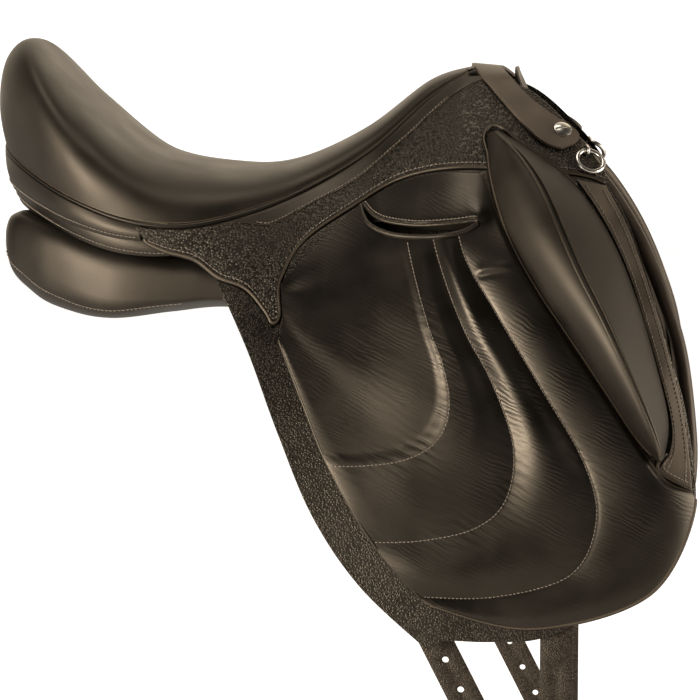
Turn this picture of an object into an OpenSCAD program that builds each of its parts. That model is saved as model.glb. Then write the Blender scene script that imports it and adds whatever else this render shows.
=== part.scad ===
// Dressage saddle, monoflap, with a padded flap and a large outside knee block.
// The horse faces +X, +Z is up and the right side is -Y. The origin lies on the centre plane,
// at the level where the panels bear on the horse, close under the deepest part of the seat.

/* [Seat] */
// Length from the pommel screw to the middle of the cantle
seat_length = 440; // [400:5:480]
// Width across the seat seam at its widest
seat_width = 288; // [250:2:320]
// Height of the deepest part of the seat over the bearing level
seat_dip = 120; // [112:1:135]
// Height of the lowest part of the seat seam over the bearing level
seam_low = 80; // [74:1:88]
// Rise of the cantle over the deepest part of the seat
cantle_rise = 98; // [80:1:115]
// Rise of the pommel over the deepest part of the seat
pommel_rise = 78; // [68:1:90]
// Thickness of the seat leather with its thin padding
cover_t = 2.4; // [1.6:0.1:4]
// Diameter of the piping in the seat seam
piping_d = 3.2; // [2.4:0.1:4]

/* [Flap] */
// Drop of the flap from the pommel seam to its lower edge
flap_drop = 416; // [380:2:460]
// Width across both flaps at their lower edge
flap_spread = 430; // [390:2:470]
// Thickness of the flap leather
flap_t = 3.2; // [2.4:0.1:4.5]
// Thickness of the skirt leather
skirt_t = 3; // [2:0.1:3.4]
// Thickness of the flap padding at its sewn seams
pad_t = 2; // [1.4:0.1:3]
// Height of the padding between two seams, over the seams
pad_puff = 8; // [3:0.5:12]
// Length of the stirrup leather slot
slot_length = 74; // [50:1:80]
// Height of the stirrup leather slot
slot_height = 8; // [6:0.5:10]
// Height of the knee block at its crest
block_h = 42; // [25:1:50]
// Diameter of the piping along the crest of the knee block
welt_d = 3.2; // [2:0.2:5]

/* [Panel] */
// Width of the channel between the panels
channel_w = 62; // [50:1:75]
// Thickness of the sweat flap leather
sweat_t = 2.5; // [2:0.1:3.2]
// Diameter of the padded roll along the front of the sweat flap
roll_d = 9; // [6:0.5:11]

/* [Girth straps] */
// Width of a girth strap
billet_w = 24; // [20:1:28]
// Thickness of a girth strap
billet_t = 3.5; // [2.5:0.1:3.8]
// Length of a girth strap from its pivot to its tip
billet_length = 470; // [400:5:520]
// Number of punched holes in a girth strap
billet_holes = 8; // [4:1:10]
// Distance between two punched holes
hole_pitch = 25; // [20:1:30]
// Diameter of a punched hole
hole_d = 5; // [4:0.5:7]

/* [Hardware] */
// Diameter of a pommel screw's head
screw_head_d = 14; // [10:1:18]
// Diameter of a pommel screw's shank
screw_d = 4; // [3:0.5:6]
// Outside diameter of a dee ring
ring_d = 24; // [20:1:26]
// Wire of a dee ring
ring_wire = 3.6; // [2.5:0.1:4.2]
// Wire of the staple that holds a dee ring
staple_wire = 2.4; // [1.8:0.1:3]
// Length of a stirrup bar
bar_length = 78; // [65:1:90]
// Diameter of a stirrup bar
bar_d = 9; // [7:0.5:11]
// Room between a stirrup bar and its plate
bar_gap = 11; // [9:0.5:13]
// Pin of the stirrup bar's catch
catch_pin_d = 4; // [3:0.5:5]

/* [Hidden] */

// Sides of the saddle
RIGHT = 1;
LEFT = -1;

// Clearances: between sewn layers, between edges that butt, and of a pin in its bore
layer_gap = 0.9;
butt_gap = 1.8;
pin_gap = 0.05;

// Sizes that the pattern points below were drawn at
drawn_length = 440;
drawn_width = 288;
drawn_drop = 416;
drawn_cantle = 98;
drawn_pommel = 78;
drawn_seam_low = 80;
drawn_channel = 62;
len_k = seat_length / drawn_length;
wide_k = seat_width / drawn_width;
drop_k = flap_drop / drawn_drop;
cantle_k = cantle_rise / drawn_cantle;
pommel_k = pommel_rise / drawn_pommel;
seam_shift = seam_low - drawn_seam_low;

// Height drawn over the lowest point of a line, in step with the cantle or the pommel
dip_u = -31;
function rise(u, h) = h * (u < dip_u ? cantle_k : pommel_k);

// Seat seam from the back of the cantle to the pommel: [along, half width, rise over its low point]
seam_drawn = [[-211, 0, 59], [-205, 46, 51], [-177, 92, 35], [-140, 128, 18], [-98, 144, 4],
              [-53, 144, 0], [-7, 127, 9], [40, 99, 28], [86, 75, 56], [127, 57, 93], [158, 45, 114]];
// Front edge, which goes on from the seam at the pommel
edge_drawn = [[204, 52, 104], [246, 80, 66], [281, 115, 14], [307, 141, -39], [335, 160, -122]];
// Top line of the seat, matched point by point to the seam: [along, rise over the deepest point]
spine_drawn = [[-211, 19], [-216, 52], [-208, 87], [-186, 97], [-151, 61], [-95, 14], [-28, 0],
               [21, 4], [76, 29], [126, 66], [161, 77]];
SEAM_STEPS = len(seam_drawn) - 1;

function rim_point(p) = [p[0] * len_k, p[1] * wide_k, seam_low + rise(p[0], p[2])];
seam_line = [for (p = seam_drawn) rim_point(p)];
rim = concat(seam_line, [for (p = edge_drawn) rim_point(p)]);
seam_top = seam_line[0][2];
spine_line = [for (i = [0:SEAM_STEPS]) let (p = spine_drawn[i])
              [p[0] * len_k, 0, i == 0 ? seam_top : seat_dip + rise(p[0], p[1])]];

// Small helpers
function clamp(t) = max(0, min(1, t));
function mix(a, b, t) = a + (b - a) * t;
function ease(a, b, x) = let (t = clamp((x - a) / (b - a))) t * t * (3 - 2 * t);
function unit(v) = v / norm(v);
function flip_y(p) = [p[0], -p[1], p[2]];
function steps(n) = [for (i = [0:n]) i / n];
function backwards(list) = [for (i = [len(list) - 1:-1:0]) list[i]];
function flat(rows) = [for (row = rows) each row];

// Point on the smooth curve through pts, t from 0 to 1
function along(pts, t) = let (
    n = len(pts) - 1,
    i = min(floor(clamp(t) * n), n - 1),
    f = clamp(t) * n - i,
    a = pts[max(i - 1, 0)],
    b = pts[i],
    c = pts[i + 1],
    d = pts[min(i + 2, n)])
    0.5 * (2 * b + (c - a) * f + (2 * a - 5 * b + 4 * c - d) * f * f
           + (3 * b - a - 3 * c + d) * f * f * f);
function direction(pts, t) = unit(along(pts, t + 0.004) - along(pts, t - 0.004));

// Height and half width of the rim over the length x, as [x, half width, height]
function rim_slope(k) = let (a = rim[max(k - 1, 0)], b = rim[min(k + 1, len(rim) - 1)])
    (b - a) / (b[0] - a[0]);
function rim_at(x) = let (
    i = max([for (k = [0:len(rim) - 2]) if (k == 0 || x >= rim[k][0]) k]),
    h = rim[i + 1][0] - rim[i][0],
    f = clamp((x - rim[i][0]) / h))
    rim[i] * (1 + (2 * f - 3) * f * f) + rim[i + 1] * (3 - 2 * f) * f * f
    + (rim_slope(i) * (f - 1) + rim_slope(i + 1) * f) * h * f * (f - 1);

// Half width of the saddle's side at length x, the drop d below the rim: the side flares out to the flaps
flare_length = 120;
flare_from = -110;
function half_width(x, d) = let (r = rim_at(x), flare = ease(flare_from * len_k, 0, x))
    r[1] + flare * (flap_spread / 2 - r[1]) * (1 - exp(-max(d, 0) / flare_length));

// Point of the right side for the pattern point [u, v], lifted off the side by the given amount
function rim_drawn(u) = let (r = rim_at(u * len_k)) r[2];
function skin(p, lift) = let (
    x = p[0] * len_k,
    top = rim_at(x)[2],
    d = (top - p[1]) * drop_k)
    [x, -(half_width(x, d) + lift), top - d];
function skin_normal(p) = unit(cross(skin(p + [1, 0], 0) - skin(p - [1, 0], 0),
                                     skin(p + [0, 1], 0) - skin(p - [0, 1], 0)));

// Closed solid between an outer and an inner grid of points
module slab(outer, inner) {
    rows = len(outer);
    cols = len(outer[0]);
    n = rows * cols;
    r = floor((rows - 1) / 2);
    c = floor((cols - 1) / 2);
    turn = cross(outer[r][c + 1] - outer[r][c], outer[r + 1][c] - outer[r][c])
           * (outer[r][c] - inner[r][c]);
    grid = [for (i = [0:rows - 2], j = [0:cols - 2]) [i * cols + j, i * cols + j + 1,
                                                      (i + 1) * cols + j + 1, (i + 1) * cols + j]];
    border = concat([for (j = [0:cols - 1]) j], [for (i = [1:rows - 1]) i * cols + cols - 1],
                    [for (j = [cols - 2:-1:0]) (rows - 1) * cols + j],
                    [for (i = [rows - 2:-1:1]) i * cols]);
    wall = [for (k = [0:len(border) - 1]) let (a = border[k], b = border[(k + 1) % len(border)])
            [b, a, a + n, b + n]];
    quads = concat(grid, [for (q = grid) [q[3] + n, q[2] + n, q[1] + n, q[0] + n]], wall);
    tris = [for (q = quads) each [[q[0], q[1], q[2]], [q[0], q[2], q[3]]]];
    polyhedron(concat(flat(outer), flat(inner)),
               turn > 0 ? [for (f = tris) backwards(f)] : tris);
}

// Solid with one closed ring of points after another
module loft(rings) {
    m = len(rings[0]);
    last = len(rings) - 1;
    sides = [for (i = [0:last - 1], j = [0:m - 1]) let (a = i * m + j, b = i * m + (j + 1) % m)
             each [[a, a + m, b], [b, a + m, b + m]]];
    caps = [for (j = [1:m - 2]) each [[0, j, j + 1], [last * m, last * m + j + 1, last * m + j]]];
    tris = concat(sides, caps);
    turn = cross(rings[0][1] - rings[0][0], rings[0][2] - rings[0][0])
           * (rings[1][0] - rings[0][0]);
    polyhedron(flat(rings), turn > 0 ? tris : [for (f = tris) backwards(f)]);
}

// Round cord through the given points
module tube(path, d, sides = 6) {
    last = len(path) - 1;
    loft([for (i = [0:last]) let (
          t = unit(path[min(i + 1, last)] - path[max(i - 1, 0)]),
          a = unit(cross(t, [0.31, 0.2, 0.93])),
          b = cross(t, a))
          [for (k = [0:sides - 1]) path[i] + d / 2 * (a * cos(360 * k / sides) + b * sin(360 * k / sides))]]);
}

// Sheet of leather on the right side: a grid of pattern points, from one lift to another
module leather(net, low, high) {
    slab([for (row = net) [for (p = row) skin(p, high)]], [for (row = net) [for (p = row) skin(p, low)]]);
}

// Net of pattern points between four edges that share their corners
function coons(top, bottom, rear, front, rows, cols) =
    [for (i = steps(rows)) [for (j = steps(cols))
     mix(along(top, j), along(bottom, j), i) + mix(along(rear, i), along(front, i), j)
     - mix(mix(top[0], top[len(top) - 1], j), mix(bottom[0], bottom[len(bottom) - 1], j), i)]];
// Net of pattern points between two lines
function ruled(upper, lower, rows, cols) =
    [for (i = steps(rows)) [for (j = steps(cols)) mix(along(upper, j), along(lower, j), i)]];

// What is drawn on the right side goes to the left side as its mirror image
module on_side(side) {
    if (side == RIGHT) children();
    else mirror([0, 1, 0]) children();
}

// Stands children, drawn along +Z with +X kept level, at a point and along a direction
module aim(at, to) {
    level = unit(cross([0, 0, 1], to));
    up = cross(to, level);
    multmatrix([[level[0], up[0], to[0], at[0]], [level[1], up[1], to[1], at[1]],
                [level[2], up[2], to[2], at[2]]]) children();
}

// Seat: the seam as a line round the back, and sections from seam to seam over the top line
function seam(s) = s < 0 ? flip_y(seam(-s))
    : along(concat([flip_y(seam_line[1])], seam_line), (1 + s * SEAM_STEPS) / (SEAM_STEPS + 1));
function spine(s) = along(spine_line, s);
section_power = 0.82;
function seat_point(s, t) = let (
    edge = seam(s),
    top = spine(s),
    c = pow(cos(90 * t), section_power),
    w = pow(abs(sin(90 * t)), section_power) * sign(t))
    [mix(edge[0], top[0], c), edge[1] * w, mix(edge[2], top[2], c)];
function seat_normal(s, t) = unit(cross(
    seat_point(min(s + 0.006, 1), t) - seat_point(s - 0.006, t),
    seat_point(s, min(t + 0.01, 0.995)) - seat_point(s, max(t - 0.01, -0.995))));
function seat_layer(s_list, t_list, depth) =
    [for (s = s_list) [for (t = t_list) seat_point(s, t) - depth * seat_normal(s, t)]];
seat_from = 0.03;
seat_to = 0.99;
seat_side = 0.985;
seat_rows = [for (i = steps(24)) mix(seat_from, seat_to, i)];
seat_cols = [for (j = steps(14)) seat_side * sin(90 * (2 * j - 1))];

module seat_cover() {
    color("#2b2723")
        slab(seat_layer(seat_rows, seat_cols, 0), seat_layer(seat_rows, seat_cols, cover_t));
}

foam_drop = 4;
foam_gap = 1.5;
foam_from = 0.09;
foam_to = 0.96;
module seat_foam() {
    rows = [for (s = seat_rows) if (s > foam_from && s < foam_to) s];
    base = [for (s = rows) let (e = seam(s)) [for (t = seat_cols)
            [e[0], (e[1] - cover_t - 2 * foam_gap) * t, e[2] - foam_drop]]];
    color("#d9c9a3")
        slab(seat_layer(rows, seat_cols, cover_t + foam_gap), base);
}

// Cord in the seam, just under the edge of the cover
module seat_piping() {
    ends = 0.985;
    drop = piping_d / 2 + 1.3 * layer_gap;
    color("#3a342e")
        tube([for (i = steps(56)) seam(ends * (2 * i - 1)) - [0, 0, drop]], piping_d);
}

// Webbing stretched over the tree under the foam
webbing_drop = foam_drop + layer_gap;
webbing_t = 1.5;
webbing_from = 0.22;
webbing_to = 0.9;
webbing_side = 0.9;
tree_drop = webbing_drop + webbing_t + layer_gap;
function shelf(s_list, width, drop) = [for (s = s_list) let (e = seam(s)) [for (t = [-1:0.5:1])
                                       [e[0], e[1] * width * t, e[2] - drop]]];
module seat_webbing() {
    rows = [for (i = steps(18)) mix(webbing_from, webbing_to, i)];
    color("#b9a98a")
        slab(shelf(rows, webbing_side, webbing_drop), shelf(rows, webbing_side, webbing_drop + webbing_t));
}

// Tree: a band inside the seam, which is bow, rail and rail in turn
tree_h = 16;
tree_inner = 0.5;
rail_outer = 0.84;
bow_outer = 0.86;
band_middle = -110;
bow_end = 0.236;
rail_start = 0.2372;
rail_end = 1;
head_w = 34;
head_half = [[175, 0, 0], [175, 28, 2], [184, 55, 22], [196, 82, 58], [206, 104, 98], [213, 122, 140]];
head_seat = 1;
head_rear = head_half[0][0] * len_k - head_w / 2;
function band(s, k, drop) = let (
    e = seam(s),
    m = band_middle * len_k,
    x = e[0] < m ? mix(m, e[0], k) : min(e[0], head_rear - head_seat))
    [x, e[1] * k, rim_at(x)[2] - drop];
module tree_band(s_list, inner, outer) {
    slab([for (s = s_list) [for (k = [inner, outer]) band(s, k, tree_drop)]],
         [for (s = s_list) [for (k = [inner, outer]) band(s, k, tree_drop + tree_h)]]);
}
module tree_rail(side) {
    color("#8a6f4d") {
        on_side(-side) tree_band([for (i = steps(15)) mix(rail_start, rail_end, i)], tree_inner, rail_outer);
        on_bar(side) bar_block();
    }
}
// Block under the rail that the plate of the stirrup bar lies against
block_at = [20, -10];
block_size = [26, 32, 34];
module bar_block() {
    translate([block_at[0], bar_plate_t + bar_seat, block_at[1]]) cube(block_size);
}
module tree_cantle() {
    color("#8a6f4d")
        tree_band([for (i = steps(20)) bow_end * (2 * i - 1)], tree_inner, bow_outer);
}

// Head of the tree: an arch over the withers with a point down each side
head_drop = 9;
head_top = seam_line[SEAM_STEPS][2] - head_drop;
head_line = concat([for (i = [len(head_half) - 1:-1:1]) let (p = head_half[i])
                    [p[0] * len_k, -p[1] * wide_k, head_top - p[2]]],
                   [for (p = head_half) [p[0] * len_k, p[1] * wide_k, head_top - p[2]]]);
head_t = 10;
plate_t = 2.5;
plate_gap = 0.6;
// Band of the arch: its width lies along X, the depth goes in from the outer face
module arch(from, to, width, depth, thick, count) {
    stations = [for (i = steps(count)) mix(from, to, i)];
    function out(t) = unit(cross([1, 0, 0], direction(head_line, t)));
    function row(t, d) = [for (k = [-0.5, 0.5]) along(head_line, t) + [k * width, 0, 0] - d * out(t)];
    slab([for (t = stations) row(t, depth)], [for (t = stations) row(t, depth + thick)]);
}
module tree_head() {
    color("#8a6f4d") arch(0.01, 0.99, head_w, 0, head_t, 26);
}
module gullet_plate() {
    color("#a9abad") arch(0.2, 0.8, head_w - 8, head_t + plate_gap, plate_t, 18);
}
rivet_d = 5;
rivet_out = 1.2;
module gullet_rivets() {
    half_pitch = 16;
    depth = head_t + plate_gap + plate_t;
    color("#c9cacc")
        for (y = [-half_pitch, half_pitch])
            translate([head_half[0][0] * len_k, y, head_top - depth - rivet_out])
                cylinder(d = rivet_d, h = depth, $fn = 24);
}

// Stirrup bar: a plate with an arm at the front that carries the bar, open to the rear
bar_rear = [94, -72, 116];
bar_front = [159, -88, 127];
bar_plate_t = 4;
bar_plate_h = 26;
bar_nose = 1.5;
bar_seat = 0.4;
module on_bar(side) {
    a = [bar_rear[0] * len_k, bar_rear[1] * wide_k, bar_rear[2] + seam_shift];
    b = [bar_front[0] * len_k, bar_front[1] * wide_k, bar_front[2] + seam_shift];
    x = unit(b - a);
    y = unit(cross(x, [0, 0, 1]));
    z = cross(y, x);
    on_side(side)
        multmatrix([[x[0], -y[0], z[0], a[0]], [x[1], -y[1], z[1], a[1]], [x[2], -y[2], z[2], a[2]]])
            children();
}
bar_y = -bar_gap - bar_d / 2;
catch_x = 5;
catch_z = -bar_d / 2 - 4.5;
module stirrup_bar(side) {
    over = 6;
    sink = 4;
    color("#b4b5b7") on_bar(side)
        difference() {
            union() {
                translate([-over, 0, -bar_plate_h / 2 - sink])
                    cube([bar_length + 2 * over, bar_plate_t, bar_plate_h]);
                translate([0, bar_y, 0]) rotate([0, 90, 0]) cylinder(d = bar_d, h = bar_length, $fn = 48);
                translate([bar_length - bar_d, bar_y, -bar_d / 2]) cube([bar_d, bar_gap + bar_d / 2, bar_d]);
                translate([-bar_nose, bar_y, 0]) rotate([0, 90, 0])
                    cylinder(d1 = bar_d - 2 * bar_nose, d2 = bar_d, h = bar_nose, $fn = 48);
            }
            translate([catch_x, bar_plate_t + 1, catch_z]) rotate([90, 0, 0])
                cylinder(d = catch_pin_d, h = bar_plate_t + 2, $fn = 48);
        }
}
module bar_rivets() {
    rear_x = 22;
    front_x = bar_length - 18;
    z = -bar_plate_h / 2 + 4;
    color("#c9cacc")
        for (side = [RIGHT, LEFT], x = [rear_x, front_x])
            on_bar(side) translate([x, -rivet_out, z]) rotate([-90, 0, 0])
                cylinder(d = rivet_d, h = bar_plate_t + 2 * rivet_out, $fn = 24);
}
// Catch that closes the open end of the bar, on a pin in the plate
catch_w = 8;
catch_h = 19;
catch_side = 0.4;
module stirrup_catch(side) {
    depth = bar_gap - 2 * catch_side;
    color("#9d9fa2") on_bar(side)
        translate([catch_x, -catch_side, catch_z]) rotate([90, 0, 0])
            difference() {
                linear_extrude(depth) {
                    circle(d = catch_w, $fn = 48);
                    translate([-catch_w / 2, 0]) square([catch_w, catch_h - catch_w]);
                    translate([0, catch_h - catch_w]) circle(d = catch_w, $fn = 48);
                }
                translate([0, 0, -1]) cylinder(d = catch_pin_d + 2 * pin_gap, h = depth + 2, $fn = 48);
            }
}
module catch_pins() {
    color("#c9cacc")
        for (side = [RIGHT, LEFT])
            on_bar(side) translate([catch_x, bar_plate_t, catch_z]) rotate([90, 0, 0])
                cylinder(d = catch_pin_d, h = bar_plate_t + bar_gap, $fn = 48);
}

// Skirt: from the seam down to an edge that dips into a pointed tail
skirt_drop = piping_d + 1.8;
skirt_end = -101;
skirt_top_u = [skirt_end, -72, -43, -17, -2, 8, 14, 21, 29, 47, 76, 111, 153, 202, 242, 263];
skirt_low = [[-96, 71], [-72, 61], [-42, 53], [-24, 40], [-3, 32], [12, 16], [18, 7], [23, 13], [22, 37],
             [37, 66], [74, 92], [108, 112], [148, 121], [197, 120], [243, 116], [265, 109]];
TAIL = 6;
skirt_top = [for (u = skirt_top_u) [u, rim_drawn(u) - skirt_drop / drop_k]];
module skirt(side) {
    color("#1f1c1a") on_side(side)
        leather(ruled(skirt_top, skirt_low, 3, 36), 0, skirt_t);
}

// Flap: its upper edge butts against the skirt
FLAP_FROM = 3;
// Way of the gap between skirt and flap: behind the tail, at its tip, in front of it and under the pommel
function butt_way(i) = i < TAIL ? [-0.6, -1] : i == TAIL ? [0.2, -1.8] : i < TAIL + 3 ? [1, -1] : [0.4, -1];
flap_top = [for (i = [FLAP_FROM:len(skirt_low) - 1]) skirt_low[i] + butt_way(i) * butt_gap];
flap_foot = [138, -230];
flap_corner = [305, -175];
flap_rear = [flap_top[0], [0, -12], [24, -72], [51, -133], [87, -184], flap_foot];
flap_bottom = [flap_foot, [148, -222], [181, -222], [219, -219], [259, -201], flap_corner];
flap_front = [flap_top[len(flap_top) - 1], [281, 81], [296, 40], [311, -10], [324, -54], [332, -113],
              [325, -148], flap_corner];
slot_at = [127, 79];
module flap(side) {
    color("#1b1917") on_side(side)
        difference() {
            leather(coons(flap_top, flap_bottom, flap_rear, flap_front, 14, 18), 0, flap_t);
            slot_cut();
        }
}

// Slot for the stirrup leather, through the flap and its padding
slot_slope = 3;
slot_reach = 60;
module slot_cut() {
    at = skin(slot_at, 0);
    half = (slot_length - slot_height) / 2;
    translate([at[0], at[1], at[2]]) rotate([0, -slot_slope, 0]) rotate([90, 0, 0])
        linear_extrude(2 * slot_reach, center = true)
            union() {
                for (x = [-half, half]) translate([x, 0]) circle(d = slot_height, $fn = 32);
                square([2 * half, slot_height], center = true);
            }
}

// Padding on the flap: a net of lines from the upper edge round to the rear edge.
// The third, fourth and fifth lines are sewn seams, and the leather swells between them.
pad_lines = [
    [[21, 37], [22, 31], [23, 25], [23, 19], [24, 15], [24, 11], [23, 7], [23, 3], [22, 0]],
    [[74, 91], [84, 52], [94, 14], [99, -12], [97, -32], [89, -44], [75, -50], [59, -52], [44, -52]],
    [[108, 111], [120, 58], [134, 12], [147, -21], [151, -51], [141, -74], [119, -87], [90, -92], [62, -93]],
    [[127, 117], [140, 60], [160, 9], [182, -31], [198, -77], [193, -115], [171, -136], [131, -146],
     [95, -148]],
    [[148, 120], [159, 63], [183, 21], [218, -35], [249, -87], [259, -129], [241, -169], [186, -186],
     [130, -187]],
    [[172, 119], [190, 77], [219, 27], [261, -34], [303, -94], [322, -135], [291, -184], [213, -209],
     [137, -193]]];
pad_rows = [0, 0.12, 0.5, 1, 1.5, 1.86, 2, 2.16, 2.5, 2.84, 3, 3.16, 3.5, 3.84, 4, 4.16, 4.5, 4.86, 5];
function pad_net(p, q) = along([for (line = pad_lines) along(line, q)], p / (len(pad_lines) - 1));
function pad_shift(p) = (p == 0 ? [1, -1] : [0.3, -1]) * butt_gap;
// Swell over the seams at place p across the net and q along it
seams_from = 2;
rear_swell = 0.55;
swell_power = 0.75;
function swell(p, q) = let (
    behind = p < seams_from,
    span = behind ? p / seams_from : p - floor(p))
    pad_puff * (behind ? rear_swell : 1) * pow(sin(180 * span), swell_power)
    * ease(-0.06, 0.14, q) * ease(-0.06, 0.1, 1 - q);
pad_low = flap_t + 1.6 * layer_gap;
module flap_pad(side) {
    cols = steps(18);
    color("#2b2723") on_side(side)
        difference() {
            slab([for (p = pad_rows) [for (q = cols)
                  skin(pad_net(p, q) + pad_shift(p), pad_low + pad_t + swell(p, q))]],
                 [for (p = pad_rows) [for (q = cols) skin(pad_net(p, q) + pad_shift(p), pad_low)]]);
            slot_cut();
        }
}
// Bound edge of the slot
module slot_welt(side) {
    welt = 4;
    slot_swell = 0.8 * pad_puff;
    half = (slot_length - slot_height) / 2;
    reach = slot_height / 2 + welt / 2;
    function spot(x, z) = let (p = slot_at + [x / len_k, (z + x * tan(slot_slope)) / drop_k])
        skin(p, pad_low + pad_t + welt / 2 + layer_gap + slot_swell);
    path = concat([for (x = [-half:half / 4:half]) spot(x, reach)],
                  [for (a = [60:-30:-60]) spot(half + reach * cos(a), reach * sin(a))],
                  [for (x = [half:-half / 4:-half]) spot(x, -reach)],
                  [for (a = [-120:-30:-235]) spot(-half + reach * cos(a), reach * sin(a))]);
    color("#37312b") on_side(side) tube(path, welt);
}

// Front strip beside the knee block, with a foot that turns in under the block
strip_rear = [[246, 113], [261, 92], [274, 68], [284, 42], [293, 12], [304, -24], [313, -58], [313, -80],
              [306, -97]];
strip_front = [[264, 108], [279, 81], [288, 59], [295, 39], [303, 15], [313, -20], [322, -56], [327, -88],
               [329, -111]];
strip_t = 2;
module front_strip(side) {
    color("#1b1917") on_side(side)
        leather(ruled(strip_rear, strip_front, 2, 26), flap_t + layer_gap, flap_t + layer_gap + strip_t);
}

// Knee block: a leaf with its crest nearer to the front edge
block_rear = [[175, 147], [179, 117], [192, 75], [214, 36], [239, 0], [265, -38], [288, -72], [303, -88]];
block_front = [[186, 148], [212, 132], [240, 110], [267, 73], [286, 31], [301, -19], [309, -60], [307, -86]];
// The crest starts near the front edge and comes back towards the middle
crest_top = 0.84;
crest_low = 0.6;
function crest_at(t) = mix(crest_top, crest_low, ease(0, 0.5, t));
block_edge = 3;
block_ends = 0.34;
block_low = flap_t + layer_gap;
// Height of the block at place k across and t along
function block_rise(k, t) = let (
    crest = crest_at(t),
    side = k < crest ? k / crest : (1 - k) / (1 - crest),
    full = k < crest ? pow(sin(90 * side), 0.9) : pow(side, 0.72),
    ends = mix(block_ends, 1, pow(sin(180 * mix(0.07, 0.95, t)), 0.7)))
    block_edge + (block_h - block_edge) * full * ends;
function block_spot(k, t, lift) = skin(mix(along(block_rear, t), along(block_front, t), k), lift);
function block_across(t) = let (crest = crest_at(t))
    concat([for (f = [0, 0.16, 0.4, 0.7, 1]) crest * f], [for (f = [0.26, 0.58, 0.84, 1]) mix(crest, 1, f)]);
module knee_block(side) {
    along_block = steps(18);
    color("#2b2723") on_side(side)
        slab([for (t = along_block) [for (k = block_across(t))
              block_spot(k, t, block_low + block_rise(k, t))]],
             [for (t = along_block) [for (k = block_across(t)) block_spot(k, t, block_low)]]);
}
// Piping along the crest
module knee_welt(side) {
    lift = block_low + welt_d / 2 + 0.7 * layer_gap;
    color("#37312b") on_side(side)
        tube([for (i = steps(26)) let (t = mix(0.02, 0.98, i))
              block_spot(crest_at(t), t, lift + block_rise(crest_at(t), t))], welt_d);
}

// Sweat flap under the girth straps
sweat_low = -22.5;
sweat_high = sweat_low + sweat_t;
roll_line = [[237, 136], [266, 105], [290, 67], [308, 25], [321, -18], [328, -78], [327, -112]];
roll_gap = 2.3;
sweat_front = [for (p = roll_line) p - [(roll_d / 2 + roll_gap) / len_k, 0]];
sweat_rear = [[-1, 60], [15, 20], [36, -40], [66, -110], [109, -179]];
sweat_top = [sweat_rear[0], [48, 74], [99, 86], [150, 97], [198, 114], sweat_front[0]];
sweat_bottom = [sweat_rear[4], [151, -197], [211, -194], [271, -171], sweat_front[6]];
module sweat_flap(side) {
    color("#26221f") on_side(side)
        leather(coons(sweat_top, sweat_bottom, sweat_rear, sweat_front, 12, 10), sweat_low, sweat_high);
}
// Padded roll along the front edge of the sweat flap
module front_roll(side) {
    color("#332d28") on_side(side)
        tube([for (i = steps(24)) skin(along(roll_line, i), sweat_low + roll_d / 2)], roll_d, 8);
}

// Panel: flocked cushion from rear to front: [along, inner edge, outer edge, half thickness, rise of
// the outer wall], where an edge is [half width, height]
panel_stations = [
    [-203, [44, 64], [70, 62], 10, 0], [-198, [36, 61], [80, 57], 22, 2], [-186, [31, 58], [92, 51], 29, 3],
    [-161, [31, 50], [112, 38], 31, 7], [-112, [31, 37], [134, 22], 24, 14],
    [-51, [31, 40], [139, 21], 19, 10], [8, [31, 50], [138, 9], 20, 0], [68, [32, 68], [136, 4], 19, 0],
    [127, [34, 88], [139, -8], 16, 0],
    [177, [40, 100], [143, -24], 13, 0], [222, [54, 92], [149, -40], 10, 0],
    [251, [78, 72], [154, -46], 7, 0]];
function panel_data(t, k) = along([for (p = panel_stations)
    k == 0 ? p[0] * len_k : k > 2 ? p[k] : k == 1 ? p[1] + [(channel_w - drawn_channel) / 2, seam_shift]
    : [p[2][0] * wide_k, p[2][1] + seam_shift]], t);
// Powers that round the section: of a full wall at the outer edge, and of the rest
full_wall = 9;
wall_power = 0.45;
wall_k = 1.4;
panel_power = 0.72;
panel_sides = 16;
function panel_ring(t) = let (
    x = panel_data(t, 0),
    inner = panel_data(t, 1),
    outer = panel_data(t, 2),
    b = panel_data(t, 3),
    wall = panel_data(t, 4),
    a = (outer - inner) / 2,
    n = unit([a[1], -a[0]]) * b)
    [for (i = [0:panel_sides - 1]) let (
        g = 360 * i / panel_sides,
        walled = cos(g) > 0 && sin(g) < 0,
        power = walled ? mix(panel_power, wall_power, clamp(wall / full_wall)) : panel_power,
        c = pow(abs(cos(g)), power) * sign(cos(g)),
        s = pow(abs(sin(g)), power) * sign(sin(g)),
        q = (inner + outer) / 2 + a * c + n * s + [0, walled ? wall_k * wall * c * -s : 0])
        [x, -q[0], q[1]]];
module panel(side) {
    color("#2b2723") on_side(side)
        loft([for (i = steps(25)) panel_ring(i)]);
}

// Leather bands round the back: the strip under the seam and the facing of the panels
module rear_band(s_end, lift, thick, high, low) {
    stations = [for (i = steps(32)) s_end * (2 * i - 1)];
    function out(s) = let (d = seam(s + 0.01) - seam(s - 0.01)) unit([-d[1], d[0], 0]);
    function row(s, away) = let (e = seam(s), l = mix(low[0], low[1], abs(s) / s_end))
        [for (z = [high, l]) [e[0], e[1], e[2] - z] + out(s) * away];
    slab([for (s = stations) row(s, lift + thick)], [for (s = stations) row(s, lift)]);
}
strip_depth = [36, 11];
facing_high = 11.8;
facing_depth = [46, 20];
band_t = 2.4;
module cantle_strip() {
    color("#2f2a26")
        rear_band(s_end = 0.385, lift = -1.2, thick = band_t, high = skirt_drop, low = strip_depth);
}
module rear_facing() {
    color("#26221f")
        rear_band(s_end = 0.47, lift = -6.5, thick = band_t, high = facing_high, low = facing_depth);
}

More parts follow.
